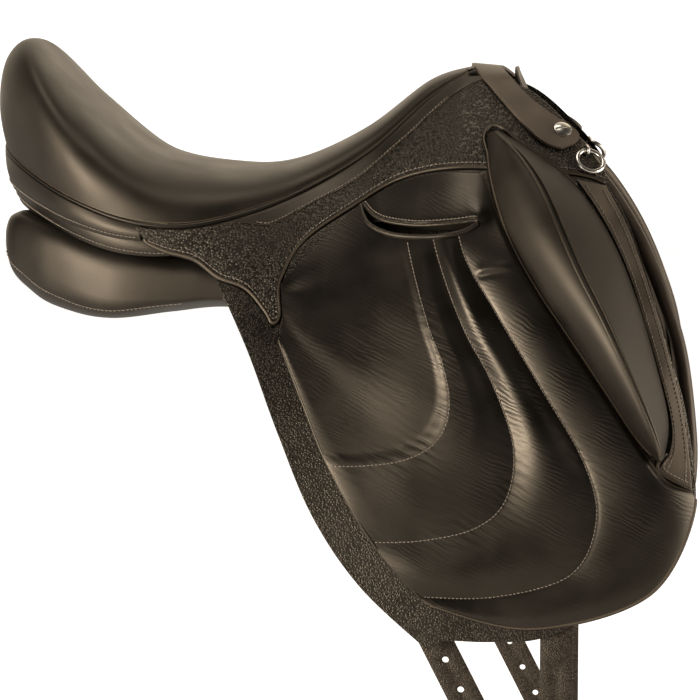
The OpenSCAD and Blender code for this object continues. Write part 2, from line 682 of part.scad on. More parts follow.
// Pommel strap: a band over the head that ends in a rounded tab on each skirt
strap_t = 2.4;
strap_low = skirt_t + 1.8 * layer_gap;
strap_rear = [[230, 131], [215, 139], [199, 157], [183, 178], [172, 187]];
strap_front = [[238, 136], [243, 146], [230, 163], [211, 178], [197, 187]];
strap_top_rear = [[166, -34, 13], [163, -15, 15], [164, 0, 14.5]];
strap_top_front = [[189, -36, 10], [185, -16, 12], [185, 0, 11.5]];
function strap_edge(low, top) = let (
    half = concat([for (p = low) skin(p, strap_low)],
                  [for (p = top) [p[0] * len_k, p[1] * wide_k, head_top + p[2]]]))
    concat(half, [for (i = [len(half) - 2:-1:0]) flip_y(half[i])]);
module pommel_strap() {
    rear = strap_edge(strap_rear, strap_top_rear);
    front = strap_edge(strap_front, strap_top_front);
    stations = steps(34);
    function row(t, k) = mix(along(rear, t), along(front, t), k);
    function out(t) = unit(cross(along(front, t) - along(rear, t),
                                 row(min(t + 0.01, 1), 0.5) - row(max(t - 0.01, 0), 0.5)));
    color("#332d28")
        slab([for (t = stations) [for (k = [0:0.5:1]) row(t, k) + strap_t * out(t)]],
             [for (t = stations) [for (k = [0:0.5:1]) row(t, k)]]);
}
// Screw with a slotted, domed head at each end of the strap
screw_at = [231, 149];
module pommel_screws() {
    slot_w = 2;
    slot_deep = 1.6;
    dome = 3.2;
    shank = strap_t + skirt_t + 4;
    lift = strap_low + strap_t + 0.7 * layer_gap;
    color("#c8c2b6")
        for (side = [RIGHT, LEFT])
            on_side(side) aim(skin(screw_at, lift), skin_normal(screw_at)) {
                translate([0, 0, -shank]) cylinder(d = screw_d, h = shank, $fn = 32);
                difference() {
                    rotate_extrude($fn = 48)
                        intersection() {
                            translate([0, dome - screw_head_d]) circle(r = screw_head_d, $fn = 96);
                            square([screw_head_d / 2, dome]);
                        }
                    translate([-screw_head_d, -slot_w / 2, dome - slot_deep])
                        cube([2 * screw_head_d, slot_w, dome]);
                }
            }
}

// Dee ring on a staple at the front of the skirt
ring_at = [252, 126];
ring_lift = skirt_t + ring_wire / 2 + 1.3 * layer_gap;
module dee_ring(side) {
    color("#c8c2b6") on_side(side)
        aim(skin(ring_at, ring_lift), skin_normal(ring_at))
            rotate_extrude($fn = 96) translate([(ring_d - ring_wire) / 2, 0]) circle(d = ring_wire, $fn = 32);
}
module dee_staples() {
    bend = ring_wire / 2 + staple_wire / 2 + 0.4;
    leg = 5;
    color("#c8c2b6")
        for (side = [RIGHT, LEFT])
            on_side(side) aim(skin(ring_at, ring_lift), skin_normal(ring_at))
                translate([0, (ring_d - ring_wire) / 2, 0]) rotate([90, 0, 90]) {
                    rotate_extrude(angle = 180, $fn = 64)
                        translate([bend, 0]) circle(d = staple_wire, $fn = 24);
                    for (x = [-bend, bend])
                        translate([x, 0, 0]) rotate([90, 0, 0]) cylinder(d = staple_wire, h = leg, $fn = 24);
                }
}

// Facing of the gullet in front of the head
module gullet_facing() {
    stations = [for (i = steps(26)) mix(0.2, 0.8, i)];
    thick = 2.2;
    reach = 15;
    lip = 11;
    function out(t) = unit(cross([1, 0, 0], direction(head_line, t)));
    function row(t, x) = [for (d = [-lip * (1 - pow(abs(2 * t - 1), 2)), reach])
                          along(head_line, t) + [head_w / 2 + x, 0, 0] - d * out(t)];
    color("#26221f")
        slab([for (t = stations) row(t, layer_gap + thick)], [for (t = stations) row(t, layer_gap)]);
}

// Pocket on the sweat flap for each point of the tree
module point_pocket(side) {
    tip = along(head_line, 0.01);
    to = direction(head_line, 0.03);
    wall = 2;
    deep = 34;
    backing = 3.5;
    pocket_gap = 0.8;
    inside = [head_w, head_t] + [1, 1] * 2 * pocket_gap;
    outside = inside + [2 * wall, 2 * wall + backing];
    out = unit(cross([1, 0, 0], to));
    color("#26221f") on_side(side)
        multmatrix([[1, out[0], to[0], tip[0]], [0, out[1], to[1], tip[1]], [0, out[2], to[2], tip[2]]])
            translate([0, -head_t / 2, 0])
                difference() {
                    translate([0, -backing / 2, deep / 2 - 1.5 * wall])
                        cube([outside[0], outside[1], deep], center = true);
                    translate([0, 0, deep / 2 - wall / 2])
                        cube([inside[0], inside[1], deep], center = true);
                }
}

// Webs that carry the girth straps: [upper end, lower end] of the middle line
web_t = 2.2;
web_w = 40;
strap_gap = 2;
web_low = sweat_high + 1.2 * layer_gap;
rear_lift = web_low + web_t + 4.5 * layer_gap;
front_lift = rear_lift + billet_t + strap_gap;
front_rise = front_lift - rear_lift + 2.3 * layer_gap;
front_pivot = [231, 1];
rear_pivot = [38, -20];
module girth_web(side, ends, rise) {
    half = web_w / 2 / len_k;
    color("#cdbf9f") on_side(side)
        slab([for (i = steps(8)) [for (k = [-1, 0, 1])
              skin(mix(ends[0], ends[1], i) + [k * half, 0], web_low + web_t + rise * i)]],
             [for (i = steps(8)) [for (k = [-1, 0, 1])
              skin(mix(ends[0], ends[1], i) + [k * half, 0], web_low + rise * i)]]);
}
front_web = [[206, 128], front_pivot + [0, -20]];
rear_web = [[30, 76], rear_pivot + [4, -20]];

// Girth strap, which follows the side and hangs straight below the flap
strap_tip = 30;
hem_z = -232;
strap_end = 24;
module billet(side, pivot, slant, lift) {
    at = skin(pivot, 0);
    function spot(l) = [at[0] + l * sin(slant), at[2] - l * cos(slant)];
    function depth(l) = let (q = spot(l), x = q[0], top = rim_at(x)[2], z = max(q[1], hem_z))
        half_width(x, top - z) + lift;
    stops = concat([for (i = [0:9]) mix(-strap_end, (at[2] - hem_z) / cos(slant), i / 9)], [billet_length]);
    outer = [for (l = stops) [depth(l) + billet_t, l]];
    inner = [for (l = stops) [depth(l), l]];
    color("#231f1c") on_side(side)
        translate([at[0], 0, at[2]]) rotate([0, -slant, 0]) mirror([0, 0, 1]) rotate([90, 0, 90])
            intersection() {
                mirror([1, 0, 0]) translate([0, 0, -billet_w / 2]) linear_extrude(billet_w)
                    polygon(concat(outer, backwards(inner)));
                billet_outline();
            }
}
module billet_outline() {
    reach = flap_spread;
    rotate([0, -90, 0]) linear_extrude(2 * reach, center = true)
        difference() {
            polygon([[-billet_w / 2, -strap_end - 1], [billet_w / 2, -strap_end - 1],
                     [billet_w / 2, billet_length - strap_tip], [4, billet_length - 4], [0, billet_length],
                     [-4, billet_length - 4], [-billet_w / 2, billet_length - strap_tip]]);
            for (i = [0:billet_holes - 1])
                translate([0, billet_length - strap_tip - 20 - i * hole_pitch]) circle(d = hole_d, $fn = 32);
        }
}
front_slant = 0;
rear_slant = 27;

tree_head();
tree_rail(RIGHT);  // tree_rail_right
tree_rail(LEFT);  // tree_rail_left
tree_cantle();
gullet_plate();
gullet_rivets();
stirrup_bar(RIGHT);  // stirrup_bar_right
stirrup_bar(LEFT);  // stirrup_bar_left
bar_rivets();
stirrup_catch(RIGHT);  // stirrup_catch_right
stirrup_catch(LEFT);  // stirrup_catch_left
catch_pins();
seat_webbing();
seat_foam();
seat_cover();
seat_piping();
skirt(RIGHT);  // skirt_right
skirt(LEFT);  // skirt_left
pommel_strap();
pommel_screws();
gullet_facing();
cantle_strip();
rear_facing();
dee_staples();
dee_ring(RIGHT);  // dee_ring_right
dee_ring(LEFT);  // dee_ring_left
panel(RIGHT);  // panel_right
panel(LEFT);  // panel_left
sweat_flap(RIGHT);  // sweat_flap_right
sweat_flap(LEFT);  // sweat_flap_left
front_roll(RIGHT);  // front_roll_right
front_roll(LEFT);  // front_roll_left
point_pocket(RIGHT);  // point_pocket_right
point_pocket(LEFT);  // point_pocket_left
girth_web(RIGHT, front_web, front_rise);  // girth_web_front_right
girth_web(LEFT, front_web, front_rise);  // girth_web_front_left
girth_web(RIGHT, rear_web, 0);  // girth_web_rear_right
girth_web(LEFT, rear_web, 0);  // girth_web_rear_left
billet(RIGHT, front_pivot, front_slant, front_lift);  // billet_front_right
billet(LEFT, front_pivot, front_slant, front_lift);  // billet_front_left
billet(RIGHT, rear_pivot, rear_slant, rear_lift);  // billet_rear_right
billet(LEFT, rear_pivot, rear_slant, rear_lift);  // billet_rear_left
flap(RIGHT);  // flap_right
flap(LEFT);  // flap_left
flap_pad(RIGHT);  // flap_pad_right
flap_pad(LEFT);  // flap_pad_left
front_strip(RIGHT);  // front_strip_right
front_strip(LEFT);  // front_strip_left
knee_block(RIGHT);  // knee_block_right
knee_block(LEFT);  // knee_block_left
knee_welt(RIGHT);  // knee_welt_right
knee_welt(LEFT);  // knee_welt_left
slot_welt(RIGHT);  // slot_welt_right
slot_welt(LEFT);  // slot_welt_left
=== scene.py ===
"""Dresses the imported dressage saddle: leather, stitching, metal, camera and studio light.

The forms follow the saddle's pattern, in millimetres, with the horse facing +X and its right side at -Y.
Each class builds one group of pieces on the right side, and the left side is its mirror image.
"""

import logging
import math
from collections.abc import Callable
from dataclasses import dataclass
from enum import Enum

import bmesh
import bpy
import numpy as np
from mathutils import Matrix, Vector, kdtree


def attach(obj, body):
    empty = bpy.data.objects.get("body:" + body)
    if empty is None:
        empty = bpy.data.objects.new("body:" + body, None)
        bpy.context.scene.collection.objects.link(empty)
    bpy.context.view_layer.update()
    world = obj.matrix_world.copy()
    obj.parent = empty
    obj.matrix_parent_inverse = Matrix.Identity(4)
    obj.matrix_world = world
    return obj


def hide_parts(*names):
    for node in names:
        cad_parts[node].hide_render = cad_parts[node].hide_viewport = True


LOG = logging.getLogger("saddle")
MM = 0.001

Array = np.ndarray
Surface = Callable[[Array, Array], Array]
Layers = Callable[[Array, Array, float], Array]
Piece = bpy.types.Object
Socket = bpy.types.NodeSocket
Two = tuple[float, float]
Three = tuple[float, float, float]
Line = tuple[Two, ...]
MIRROR = np.array([1, -1, 1])


class Side(Enum):
    """The two sides of the saddle."""

    RIGHT = "right"
    LEFT = "left"


def mix(a: Array, b: Array, k: Array) -> Array:
    """Goes from a, at k = 0, to b, at k = 1."""
    return a + (b - a) * k


def ease(low: float, high: float, x: Array) -> Array:
    """Smooth step from 0 at low to 1 at high."""
    t = np.clip((x - low) / (high - low), 0, 1)
    return t * t * (3 - 2 * t)


def hump(span: tuple[float, ...], x: Array) -> Array:
    """Rises from 0 to 1 between the first two places of a span, and falls back between the last two."""
    return ease(*span[:2], x) * (1 - ease(*span[2:], x))


def unit(v: Array) -> Array:
    """Scales the vectors in the last axis to length 1."""
    return v / np.maximum(np.linalg.norm(v, axis=-1, keepdims=True), 1e-9)


def columns(*values: Array | float) -> Array:
    """Joins values, one set for each coordinate, into points."""
    return np.stack(np.broadcast_arrays(*values), axis=-1)


def reach(path: Array) -> Array:
    """Distance of each point of a line from its start."""
    return np.concatenate([[0], np.cumsum(np.linalg.norm(np.diff(path, axis=0), axis=1))])


def even_out(values: Array, near: int) -> Array:
    """Mean of each value and of so many neighbours on each side."""
    count = 2 * near + 1
    return np.convolve(np.pad(values, near, "edge"), np.ones(count) / count, "valid")


def search_tree(points: Array) -> kdtree.KDTree:
    """Puts points in space into a tree that finds the nearest one.

    Args:
        points: The points.

    Returns:
        The tree.
    """
    tree = kdtree.KDTree(len(points))
    for k, spot in enumerate(points):
        tree.insert(Vector(spot), k)
    tree.balance()
    return tree


def into_scene(name: str, data: bpy.types.ID) -> Piece:
    """Puts an object into the scene, at the origin.

    Args:
        name: Name of the object.
        data: Its mesh, light or camera.

    Returns:
        The object.
    """
    made = bpy.data.objects.new(name, data)
    bpy.context.scene.collection.objects.link(made)
    return made


def spline(points: Array | Line, t: Array) -> Array:
    """Smooth curve through points.

    Args:
        points: One row for each point, or one array for each point with a value for every t.
        t: Places from 0 to 1.

    Returns:
        The curve at each place.
    """
    pts = np.asarray(points, float)
    t = np.asarray(t, float)
    n = len(pts) - 1
    at = np.clip(t, 0, 1) * n
    i = np.minimum(at.astype(int), n - 1)
    f = (at - i)[..., None]

    def pick(k: Array) -> Array:
        """Points with these numbers, one for each place."""
        if pts.ndim == 2:
            return pts[k]
        return np.take_along_axis(pts, k[None, ..., None], 0)[0]

    a, b, c, d = (pick(np.clip(i + k, 0, n)) for k in (-1, 0, 1, 2))
    return 0.5 * (2 * b + (c - a) * f + (2 * a - 5 * b + 4 * c - d) * f**2 + (3 * b - a - 3 * c + d) * f**3)


def resample(path: Array, step: float) -> Array:
    """Spaces the points of a line evenly.

    Args:
        path: Points of the line.
        step: Distance between two new points.

    Returns:
        The new points, ends included.
    """
    along = reach(path)
    count = max(int(along[-1] / step), 2)
    at = np.linspace(0, along[-1], count + 1)
    return columns(*(np.interp(at, along, column) for column in path.T))


def ripple(u: Array, v: Array, seed: float) -> Array:
    """Soft unevenness from about -1 to 1, the same in every run; u and v are in radians."""
    total = np.sin(u + 1.7 * v + seed) + 0.7 * np.sin(1.9 * u - 1.3 * v + 2.1 * seed)
    return (total + 0.5 * np.sin(3.1 * u + 2.7 * v + 3.3 * seed)) / 2.2


class Form:
    """The saddle's pattern: seat, sides and the lines drawn on them."""

    SEAM = np.array([
        [-211, 0, 139], [-205, 46, 131], [-177, 92, 115], [-140, 128, 98], [-98, 144, 84], [-53, 144, 80],
        [-7, 127, 89], [40, 99, 108], [86, 75, 136], [127, 57, 173], [158, 45, 194]], float)
    EDGE = np.array([
        [204, 52, 184], [246, 80, 146], [281, 115, 94], [307, 141, 41], [335, 160, -42]], float)
    SPINE = np.array([
        [-211, 0, 139], [-216, 0, 172], [-208, 0, 207], [-186, 0, 217], [-151, 0, 181], [-95, 0, 134],
        [-28, 0, 120], [21, 0, 124], [76, 0, 149], [126, 0, 186], [161, 0, 197]], float)
    RIM = np.vstack([SEAM, EDGE])
    FLARE_FROM, FLARE_LENGTH, HALF_SPREAD = -110, 120, 215
    SECTION_POWER = 0.82
    SEAT_STEP, SEAT_END = (0.006, 0.01), 0.995

    @classmethod
    def rim(cls, x: Array) -> Array:
        """Rim of the saddle's side.

        Args:
            x: Places along the saddle.

        Returns:
            Rows of [x, half width, height].
        """
        x = np.asarray(x, float)
        rim = cls.RIM
        last = len(rim) - 1
        i = np.clip(np.searchsorted(rim[:, 0], x, side="right") - 1, 0, last - 1)

        def slope(k: Array) -> Array:
            """Slope of the rim at its own points."""
            a, b = rim[np.maximum(k - 1, 0)], rim[np.minimum(k + 1, last)]
            return (b - a) / (b[..., :1] - a[..., :1])

        h = (rim[i + 1, 0] - rim[i, 0])[..., None]
        f = np.clip((x - rim[i, 0])[..., None] / h, 0, 1)
        even = rim[i] * (1 + (2 * f - 3) * f**2) + rim[i + 1] * (3 - 2 * f) * f**2
        return even + (slope(i) * (f - 1) + slope(i + 1) * f) * h * f * (f - 1)

    @classmethod
    def skin(cls, spots: Array, lift: Array) -> Array:
        """Right side of the saddle.

        Args:
            spots: Pattern points [along, height].
            lift: Distance out from the side.

        Returns:
            Points in space.
        """
        spots = np.asarray(spots, float)
        x, z = spots[..., 0], spots[..., 1]
        rim = cls.rim(x)
        drop = np.maximum(rim[..., 2] - z, 0)
        flare = ease(cls.FLARE_FROM, 0, x)
        half = rim[..., 1] + flare * (cls.HALF_SPREAD - rim[..., 1]) * (1 - np.exp(-drop / cls.FLARE_LENGTH))
        return columns(x, -(half + lift), z)

    @classmethod
    def skin_normal(cls, spots: Array) -> Array:
        """Outward direction of the right side.

        Args:
            spots: Pattern points.

        Returns:
            Unit vectors.
        """
        spots = np.asarray(spots, float)
        x_step, z_step = np.array([1.0, 0]), np.array([0, 1.0])
        return unit(np.cross(cls.skin(spots + x_step, 0) - cls.skin(spots - x_step, 0),
                             cls.skin(spots + z_step, 0) - cls.skin(spots - z_step, 0)))

    @classmethod
    def seam(cls, s: Array) -> Array:
        """Seat seam, round the back from the right (-1) to the left (1).

        Args:
            s: Places on the seam.

        Returns:
            Points in space.
        """
        s = np.asarray(s, float)
        line = np.vstack([cls.SEAM[1] * MIRROR, cls.SEAM])
        steps = len(cls.SEAM) - 1
        at = spline(line, (1 + np.abs(s) * steps) / (steps + 1))
        return at * columns(1, np.where(s < 0, -1, 1), 1)

    @classmethod
    def seat(cls, s: Array, t: Array) -> Array:
        """Top of the seat.

        Args:
            s: Place from the cantle (0) to the pommel (1).
            t: Place from the right seam (-1) to the left one (1).

        Returns:
            Points in space.
        """
        edge, top = cls.seam(s), spline(cls.SPINE, s)
        c = np.cos(np.pi / 2 * t) ** cls.SECTION_POWER
        w = np.abs(np.sin(np.pi / 2 * t)) ** cls.SECTION_POWER * np.sign(t)
        arch = mix(edge, top, c[..., None])
        return columns(arch[..., 0], edge[..., 1] * w, arch[..., 2])

    @classmethod
    def seat_normal(cls, s: Array, t: Array) -> Array:
        """Outward direction of the seat.

        Args:
            s: Place from cantle to pommel.
            t: Place from seam to seam.

        Returns:
            Unit vectors.
        """
        along, across = cls.SEAT_STEP
        right, left = np.maximum(t - across, -cls.SEAT_END), np.minimum(t + across, cls.SEAT_END)
        return unit(np.cross(cls.seat(np.minimum(s + along, 1), t) - cls.seat(s - along, t),
                             cls.seat(s, left) - cls.seat(s, right)))

    @staticmethod
    def coons(top: Array, bottom: Array, rear: Array, front: Array, i: Array, j: Array) -> Array:
        """Net between four edges that share their corners.

        Args:
            top: Points of the upper edge, from the rear.
            bottom: Points of the lower edge, from the rear.
            rear: Points of the rear edge, from the top.
            front: Points of the front edge, from the top.
            i: Place from top to bottom.
            j: Place from rear to front.

        Returns:
            Pattern points.
        """
        top, bottom, rear, front = (np.asarray(p, float) for p in (top, bottom, rear, front))
        down, over = i[..., None], j[..., None]
        return (mix(spline(top, j), spline(bottom, j), down) + mix(spline(rear, i), spline(front, i), over)
                - mix(mix(top[0], top[-1], over), mix(bottom[0], bottom[-1], over), down))


class Mesh:
    """Builds objects from grids, tubes and prisms."""

    SAME = 1e-6
    BLUNT_END = 0.12
    STITCH_STEPS, STITCH_SIDES = 6, 5
    STITCH_RISE, STITCH_TOP, STITCH_DIP = 0.25, 0.3, 1.1
    FLAT_ANGLE, HARD_ANGLE, SHARP_ANGLE = (math.radians(angle) for angle in (0.5, 40, 35))

    @staticmethod
    def grid(bm: bmesh.types.BMesh, rows: int, cols: int, place: Surface) -> list[bmesh.types.BMVert]:
        """Adds a grid that lies on a surface.

        Args:
            bm: Mesh to add to.
            rows: Faces along v.
            cols: Faces along u.
            place: Gives points in millimetres for u and v from 0 to 1.

        Returns:
            The new vertices.
        """
        verts = bmesh.ops.create_grid(bm, x_segments=cols, y_segments=rows, size=0.5)["verts"]
        flat = np.array([v.co for v in verts]) + 0.5
        for vert, spot in zip(verts, place(flat[:, 0], flat[:, 1]) * MM):
            vert.co = spot
        return verts

    @staticmethod
    def finish(bm: bmesh.types.BMesh, name: str) -> Piece:
        """Turns a mesh into a smooth object in the scene.

        Args:
            bm: The mesh, which is freed.
            name: Name of the object.

        Returns:
            The object, at the origin.
        """
        bmesh.ops.recalc_face_normals(bm, faces=bm.faces[:])
        mesh = bpy.data.meshes.new(name)
        bm.to_mesh(mesh)
        bm.free()
        mesh.shade_smooth()
        return into_scene(name, mesh)

    @staticmethod
    def soften(bm: bmesh.types.BMesh, edges: list[bmesh.types.BMEdge], round_by: float, steps: int) -> None:
        """Rounds edges by some millimetres, with so many faces across the rounding."""
        bmesh.ops.bevel(bm, geom=edges, offset=round_by * MM, offset_type="OFFSET", segments=steps,
                        profile=0.5, affect="EDGES", clamp_overlap=True, material=-1)

    @classmethod
    def slab(cls, name: str, outer: Surface, inner: Surface, rows: int, cols: int, round_by: float) -> Piece:
        """Closed sheet between two surfaces, with rounded edges.

        Args:
            name: Name of the object.
            outer: Outer surface.
            inner: Inner surface.
            rows: Faces along v.
            cols: Faces along u.
            round_by: Size of the rounding, in millimetres.

        Returns:
            The object.
        """
        bm = bmesh.new()
        borders: set[bmesh.types.BMEdge] = set()
        for place in (outer, inner):
            verts = cls.grid(bm, rows, cols, place)
            borders.update(e for v in verts for e in v.link_edges if e.is_boundary)
        bmesh.ops.bridge_loops(bm, edges=list(borders))
        bmesh.ops.recalc_face_normals(bm, faces=bm.faces[:])
        if round_by:
            cls.soften(bm, [e for e in borders if e.is_valid], round_by, steps=3)
        return cls.finish(bm, name)

    @classmethod
    def shell(cls, name: str, place: Layers, lifts: Two, rows: int, cols: int, round_by: float) -> Piece:
        """Closed sheet between two layers of one surface; lifts are its inner and its outer one."""
        inner, outer = (lambda u, v, lift=lift: place(u, v, lift) for lift in lifts)
        return cls.slab(name, outer, inner, rows, cols, round_by)

    @classmethod
    def laid(cls, name: str, net: Surface, lifts: Two, rows: int, cols: int, round_by: float) -> Piece:
        """Sheet whose pattern is laid on the right side of the saddle, with an inner and an outer lift."""
        return cls.shell(name, lambda u, v, lift: Form.skin(net(u, v), lift), lifts, rows, cols, round_by)

    @classmethod
    def tube(cls, name: str, path: Array, radius: Array | float, sides: int = 8) -> Piece:
        """Round cord along a line, closed at its ends.

        Args:
            name: Name of the object.
            path: Points of its centre line, in millimetres.
            radius: Radius, or one for each point.
            sides: Number of sides.

        Returns:
            The object.
        """
        last = len(path) - 1
        radii = np.broadcast_to(np.asarray(radius, float), (last + 1,))
        tangent = unit(np.gradient(path, axis=0))
        across = np.zeros_like(path)
        guide = np.array([0.31, 0.2, 0.93])
        for i in range(last + 1):
            guide = unit(guide - tangent[i] * (guide @ tangent[i]))
            across[i] = guide
        up = np.cross(tangent, across)

        def place(u: Array, v: Array) -> Array:
            """Points round the line."""
            i = np.rint(v * last).astype(int)
            angle = (2 * np.pi * u)[:, None]
            return path[i] + radii[i][:, None] * (np.cos(angle) * across[i] + np.sin(angle) * up[i])

        bm = bmesh.new()
        cls.grid(bm, last, sides, place)
        bmesh.ops.remove_doubles(bm, verts=bm.verts[:], dist=Mesh.SAME)
        bmesh.ops.holes_fill(bm, edges=[e for e in bm.edges if e.is_boundary], sides=0)
        return cls.finish(bm, name)

    @staticmethod
    def blunt(path: Array, radius: float) -> Array:
        """Radii of a cord with rounded ends.

        Args:
            path: Points of the centre line.
            radius: Radius away from the ends.

        Returns:
            One radius for each point.
        """
        along = reach(path)
        near = np.minimum(np.minimum(along, along[-1] - along) / radius, 1)
        return radius * np.maximum(np.sqrt(1 - (1 - near) ** 2), Mesh.BLUNT_END)

    @classmethod
    def stitches(
            cls, name: str, path: Array, normal: Array, pitch: float = 3.4, thread: float = 0.42) -> Piece:
        """Row of stitches: a thread that dips in and out of the leather.

        Args:
            name: Name of the object.
            path: Points of the row on the leather.
            normal: Outward direction at each point.
            pitch: Length of a stitch with its gap.
            thread: Radius of the thread.

        Returns:
            The object.
        """
        both = resample(np.hstack([path, normal]), pitch / cls.STITCH_STEPS)
        spots, out = both[:, :3], unit(both[:, 3:])
        wave = np.sin(2 * np.pi * reach(spots) / pitch)
        height = cls.STITCH_RISE + np.where(wave > 0, cls.STITCH_TOP * wave, cls.STITCH_DIP * wave)
        return cls.tube(name, spots + out * height[:, None], thread, cls.STITCH_SIDES)

    @staticmethod
    def mark(piece: Piece, line: Array, width: float, kind: str = "worn") -> None:
        """Marks how close each vertex is to a line, for edges with wear and a painted highlight, or for
        creases.

        Args:
            piece: Object to mark.
            line: Points of the line, in millimetres.
            width: Distance at which the mark ends.
            kind: Name of the mark.
        """
        tree = search_tree(resample(line, step=1.0) * MM)
        mesh = piece.data
        known = mesh.attributes.get(kind) or mesh.attributes.new(kind, "FLOAT", "POINT")
        values = np.zeros(len(mesh.vertices), np.float32)
        known.data.foreach_get("value", values)
        near = np.array([tree.find(v.co)[2] for v in mesh.vertices])
        values = np.maximum(values, np.clip(1 - near / (width * MM), 0, 1))
        known.data.foreach_set("value", values.astype(np.float32))

    @staticmethod
    def bake(piece: Piece) -> None:
        """Applies the modifiers of an object.

        Args:
            piece: The object.
        """
        graph = bpy.context.evaluated_depsgraph_get()
        old = piece.data
        piece.data = bpy.data.meshes.new_from_object(piece.evaluated_get(graph))
        piece.modifiers.clear()
        bpy.data.meshes.remove(old)

    @classmethod
    def cut(cls, piece: Piece, cutter: Piece) -> None:
        """Takes one object out of another.

        Args:
            piece: Object that keeps the rest.
            cutter: Object that is removed.
        """
        step = piece.modifiers.new("cut", "BOOLEAN")
        step.operation = "DIFFERENCE"
        step.solver = "EXACT"
        step.object = cutter
        cls.bake(piece)
        bpy.data.objects.remove(cutter)
        piece.data.shade_smooth()

    @staticmethod
    def copy_node(node: str, name: str, round_by: float) -> Piece:
        """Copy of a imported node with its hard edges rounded.

        Args:
            node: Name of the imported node.
            name: Name of the copy.
            round_by: Size of the rounding, in millimetres.

        Returns:
            The copy.
        """
        bm = bmesh.new()
        bm.from_mesh(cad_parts[node].data)
        bmesh.ops.remove_doubles(bm, verts=bm.verts[:], dist=Mesh.SAME)
        bmesh.ops.dissolve_limit(bm, angle_limit=Mesh.FLAT_ANGLE, verts=bm.verts[:], edges=bm.edges[:])
        hard = [e for e in bm.edges if len(e.link_faces) == 2 and e.calc_face_angle() > Mesh.HARD_ANGLE]
        Mesh.soften(bm, hard, round_by, steps=2)
        piece = Mesh.finish(bm, name)
        piece.data.set_sharp_from_angle(angle=Mesh.SHARP_ANGLE)
        return piece

    @staticmethod
    def mirrored(piece: Piece, name: str) -> Piece:
        """Mirror image on the other side.

        Args:
            piece: Object on the right side.
            name: Name of the new object.

        Returns:
            The new object.
        """
        bm = bmesh.new()
        bm.from_mesh(piece.data)
        bmesh.ops.scale(bm, vec=(1, -1, 1), verts=bm.verts[:])
        bmesh.ops.reverse_faces(bm, faces=bm.faces[:])
        mesh = piece.data.copy()
        mesh.name = name
        bm.to_mesh(mesh)
        bm.free()
        return into_scene(name, mesh)


class Join(Enum):
    """Ways to join two values."""

    PRODUCT = "MULTIPLY"
    LARGER = "MAXIMUM"


class Shader:
    """Small wrapper round the nodes of a material or a world."""

    def __init__(self, owner: bpy.types.Material | bpy.types.World, end: str = "Principled BSDF") -> None:
        """Starts from the nodes that the owner has.

        Args:
            owner: Material or world.
            end: Name of the node that gives its surface.
        """
        owner.use_nodes = True
        self.owner = owner
        self.tree = owner.node_tree
        self.surface = self.tree.nodes[end]

    def node(self, kind: str, **inputs: object) -> bpy.types.Node:
        """Adds a node.

        Args:
            kind: Type of the node, without its prefix.
            **inputs: Values or sockets for its inputs, with spaces written as underscores.

        Returns:
            The node.
        """
        made = self.tree.nodes.new("ShaderNode" + kind)
        for key, value in inputs.items():
            self.set(made, key.replace("_", " "), value)
        return made

    def set(self, node: bpy.types.Node, key: str | int, value: object) -> None:
        """Sets or links an input.

        Args:
            node: The node.
            key: Name or number of the input.
            value: A value, or the socket to link.
        """
        if isinstance(value, Socket):
            self.tree.links.new(value, node.inputs[key])
        else:
            node.inputs[key].default_value = value

    def place(self) -> Socket:
        """Object coordinates."""
        return self.node("TexCoord").outputs["Object"]

    def mark(self, kind: str) -> Socket:
        """Mark on the vertices.

        Args:
            kind: Name of the mark.

        Returns:
            Its value.
        """
        made = self.node("Attribute")
        made.attribute_name = kind
        return made.outputs["Fac"]

    def noise(self, place: Socket, scale: float, detail: float, output: str = "Fac") -> Socket:
        """Soft noise of a scale, with so many finer layers."""
        return self.node("TexNoise", Vector=place, Scale=scale, Detail=detail).outputs[output]

    def blend(self, a: object, b: object, share: object) -> Socket:
        """Mixes two colours.

        Args:
            a: First colour or socket.
            b: Second colour or socket.
            share: Share of the second.

        Returns:
            The mixed colour.
        """
        made = self.node("Mix")
        made.data_type = "RGBA"
        for key, value in ((0, share), (6, a), (7, b)):
            self.set(made, key, value)
        return made.outputs[2]

    def between(self, value: Socket, low: float, high: float, to_low: float, to_high: float) -> Socket:
        """Maps a range of values to another.

        Args:
            value: The value.
            low: Start of the range.
            high: End of the range.
            to_low: Start of the new range.
            to_high: End of the new range.

        Returns:
            The mapped value, clamped.
        """
        made = self.node("MapRange", From_Min=low, From_Max=high, To_Min=to_low, To_Max=to_high)
        self.set(made, 0, value)
        return made.outputs[0]

    def join(self, way: Join, a: object, b: object) -> Socket:
        """Joins two values.

        Args:
            way: How to join them.
            a: First value or socket.
            b: Second value or socket.

        Returns:
            The result.
        """
        made = self.node("Math")
        made.operation = way.value
        self.set(made, 0, a)
        self.set(made, 1, b)
        return made.outputs[0]

    def bump(self, height: Socket, depth: float, strength: float, under: object = None) -> Socket:
        """Fine relief.

        Args:
            height: Height from 0 to 1.
            depth: Depth in metres.
            strength: Share of the relief.
            under: Normal of a relief below this one.

        Returns:
            The normal.
        """
        made = self.node("Bump", Height=height, Distance=depth, Strength=strength)
        if under is not None:
            self.set(made, "Normal", under)
        return made.outputs["Normal"]


def shade(colour: Three, share: float = 1.0) -> tuple[float, ...]:
    """Colour made darker or lighter, with full cover."""
    return (*(min(share * c, 1.0) for c in colour), 1.0)


